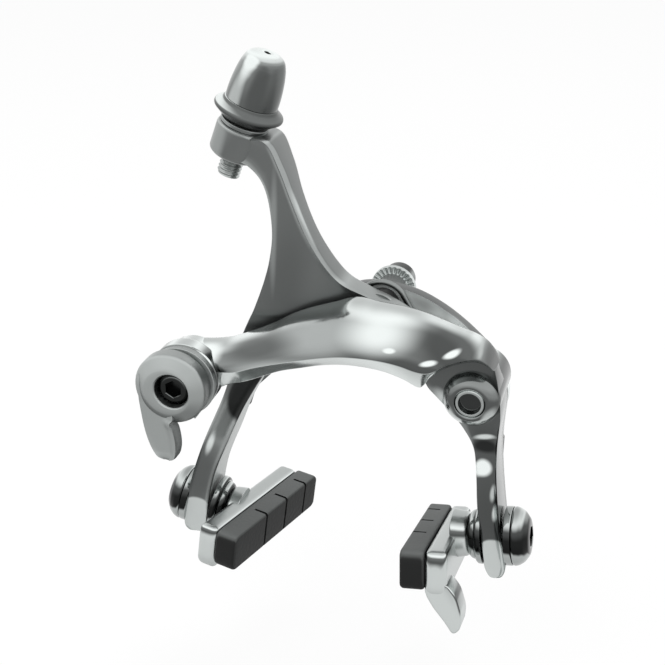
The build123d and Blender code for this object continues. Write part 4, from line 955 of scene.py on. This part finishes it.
class ShoeSettings(bpy.types.PropertyGroup):
    """Sizes of the brake pads and their holders."""

    pad_length: bpy.props.FloatProperty(
        name="Pad length", description="Length of a brake pad",
        default=0.046, unit="LENGTH", precision=4)
    pad_height: bpy.props.FloatProperty(
        name="Pad height", description="Height of a brake pad",
        default=0.0104, unit="LENGTH", precision=4)
    pad_thickness: bpy.props.FloatProperty(
        name="Pad thickness", description="Rubber in front of the holder",
        default=0.0062, unit="LENGTH", precision=4)
    groove_width: bpy.props.FloatProperty(
        name="Groove width", description="Width of the grooves across a pad",
        default=0.0008, unit="LENGTH", precision=4)
    groove_depth: bpy.props.FloatProperty(
        name="Groove depth", description="Depth of the grooves across a pad",
        default=0.004, unit="LENGTH", precision=4)


class StageSettings(bpy.types.PropertyGroup):
    """The camera's angle, the floor and the lamps."""

    azimuth: bpy.props.FloatProperty(
        name="Azimuth", description="Camera angle round the brake, from the front",
        default=math.radians(16.5), subtype="ANGLE", unit="ROTATION")
    elevation: bpy.props.FloatProperty(
        name="Elevation", description="Camera angle above level",
        default=math.radians(25.0), subtype="ANGLE", unit="ROTATION")
    floor_drop: bpy.props.FloatProperty(
        name="Floor drop", description="Distance of the floor below the shoes",
        default=0.03, unit="LENGTH", precision=3)
    floor_colour: bpy.props.FloatVectorProperty(
        name="Floor", description="Colour of the floor",
        default=(0.9, 0.9, 0.9), min=0.0, max=1.0, subtype="COLOR")
    lamp_level: bpy.props.FloatProperty(
        name="Lamp level", description="Strength of all the lamps together",
        default=1.0, min=0.0, max=4.0)


class BRAKE_OT_finishes(bpy.types.Operator):
    """Make every finish and give the plain solids theirs"""

    bl_idname = "brake.finishes"
    bl_label = "Finishes"

    def execute(self, context):
        make_materials(context.scene.brake_finishes)
        dress_solids()
        return {"FINISHED"}


class BRAKE_OT_rear_arm(bpy.types.Operator):
    """Build the rear arm with its cable stop and left leg"""

    bl_idname = "brake.rear_arm"
    bl_label = "Rear arm"

    def execute(self, context):
        build_rear_arm(context.scene.brake_arms)
        return {"FINISHED"}


class BRAKE_OT_front_arm(bpy.types.Operator):
    """Build the front arm: arch, hood, right leg and anchor boss"""

    bl_idname = "brake.front_arm"
    bl_label = "Front arm"

    def execute(self, context):
        build_front_arm(context.scene.brake_arms)
        return {"FINISHED"}


class BRAKE_OT_bridge(bpy.types.Operator):
    """Build the bridge plate behind the arms"""

    bl_idname = "brake.bridge"
    bl_label = "Bridge plate"

    def execute(self, context):
        build_bridge(context.scene.brake_arms)
        return {"FINISHED"}


class BRAKE_OT_adjuster(bpy.types.Operator):
    """Build the cable adjuster: washer, flared ring, cap and threaded barrel"""

    bl_idname = "brake.adjuster"
    bl_label = "Cable adjuster"

    def execute(self, context):
        build_adjuster(context.scene.brake_fittings)
        return {"FINISHED"}


class BRAKE_OT_lever(bpy.types.Operator):
    """Build the quick-release lever with its hub"""

    bl_idname = "brake.lever"
    bl_label = "Quick-release lever"

    def execute(self, context):
        build_lever(context.scene.brake_fittings)
        return {"FINISHED"}


class BRAKE_OT_pivot_and_anchor(bpy.types.Operator):
    """Build the side pivot screw, the cable anchor bolt and its washer"""

    bl_idname = "brake.pivot_and_anchor"
    bl_label = "Pivot and anchor"

    def execute(self, context):
        build_pivot_and_anchor(context.scene.brake_fittings)
        return {"FINISHED"}


class BRAKE_OT_shoes(bpy.types.Operator):
    """Build both brake shoes with their washers and nuts"""

    bl_idname = "brake.shoes"
    bl_label = "Brake shoes"

    def execute(self, context):
        build_shoes(context.scene.brake_shoes)
        return {"FINISHED"}


class BRAKE_OT_seat(bpy.types.Operator):
    """Build the toothed washer and the nut on the mounting bolt"""

    bl_idname = "brake.seat"
    bl_label = "Washer and nut"

    def execute(self, context):
        build_seat(context.scene.brake_fittings)
        return {"FINISHED"}


class BRAKE_OT_stage(bpy.types.Operator):
    """Set the camera, floor, lamps and surround"""

    bl_idname = "brake.stage"
    bl_label = "Stage"

    def execute(self, context):
        build_stage(context.scene.brake_stage)
        return {"FINISHED"}


SETTINGS = {"brake_finishes": FinishSettings, "brake_arms": ArmSettings, "brake_fittings": FittingSettings,
            "brake_shoes": ShoeSettings, "brake_stage": StageSettings}
OPERATORS = (BRAKE_OT_finishes, BRAKE_OT_rear_arm, BRAKE_OT_front_arm, BRAKE_OT_bridge, BRAKE_OT_adjuster,
             BRAKE_OT_lever, BRAKE_OT_pivot_and_anchor, BRAKE_OT_shoes, BRAKE_OT_seat, BRAKE_OT_stage)


class BRAKE_PT_parts(bpy.types.Panel):
    """Lists the brake's sizes and the pieces to build"""

    bl_idname = "BRAKE_PT_parts"
    bl_label = "Caliper brake"
    bl_space_type = "VIEW_3D"
    bl_region_type = "UI"
    bl_category = "Brake"

    def draw(self, context):
        for name, group in SETTINGS.items():
            box = self.layout.box()
            for size in group.__annotations__:
                box.prop(getattr(context.scene, name), size)
        for operator in OPERATORS:
            self.layout.operator(operator.bl_idname)


def register():
    """Register the classes and keep each group of settings on the scene."""
    for part in (*SETTINGS.values(), *OPERATORS, BRAKE_PT_parts):
        bpy.utils.register_class(part)
    for name, group in SETTINGS.items():
        setattr(bpy.types.Scene, name, bpy.props.PointerProperty(type=group))


def unregister():
    """Undo register."""
    for name in SETTINGS:
        delattr(bpy.types.Scene, name)
    for part in reversed((*SETTINGS.values(), *OPERATORS, BRAKE_PT_parts)):
        bpy.utils.unregister_class(part)


def main():
    """Build everything in order."""
    register()
    bpy.ops.brake.finishes()
    bpy.ops.brake.rear_arm()
    bpy.ops.brake.front_arm()
    bpy.ops.brake.bridge()
    bpy.ops.brake.adjuster()
    bpy.ops.brake.lever()
    bpy.ops.brake.pivot_and_anchor()
    bpy.ops.brake.shoes()
    bpy.ops.brake.seat()
    bpy.ops.brake.stage()


if __name__ == "__main__":
    main()
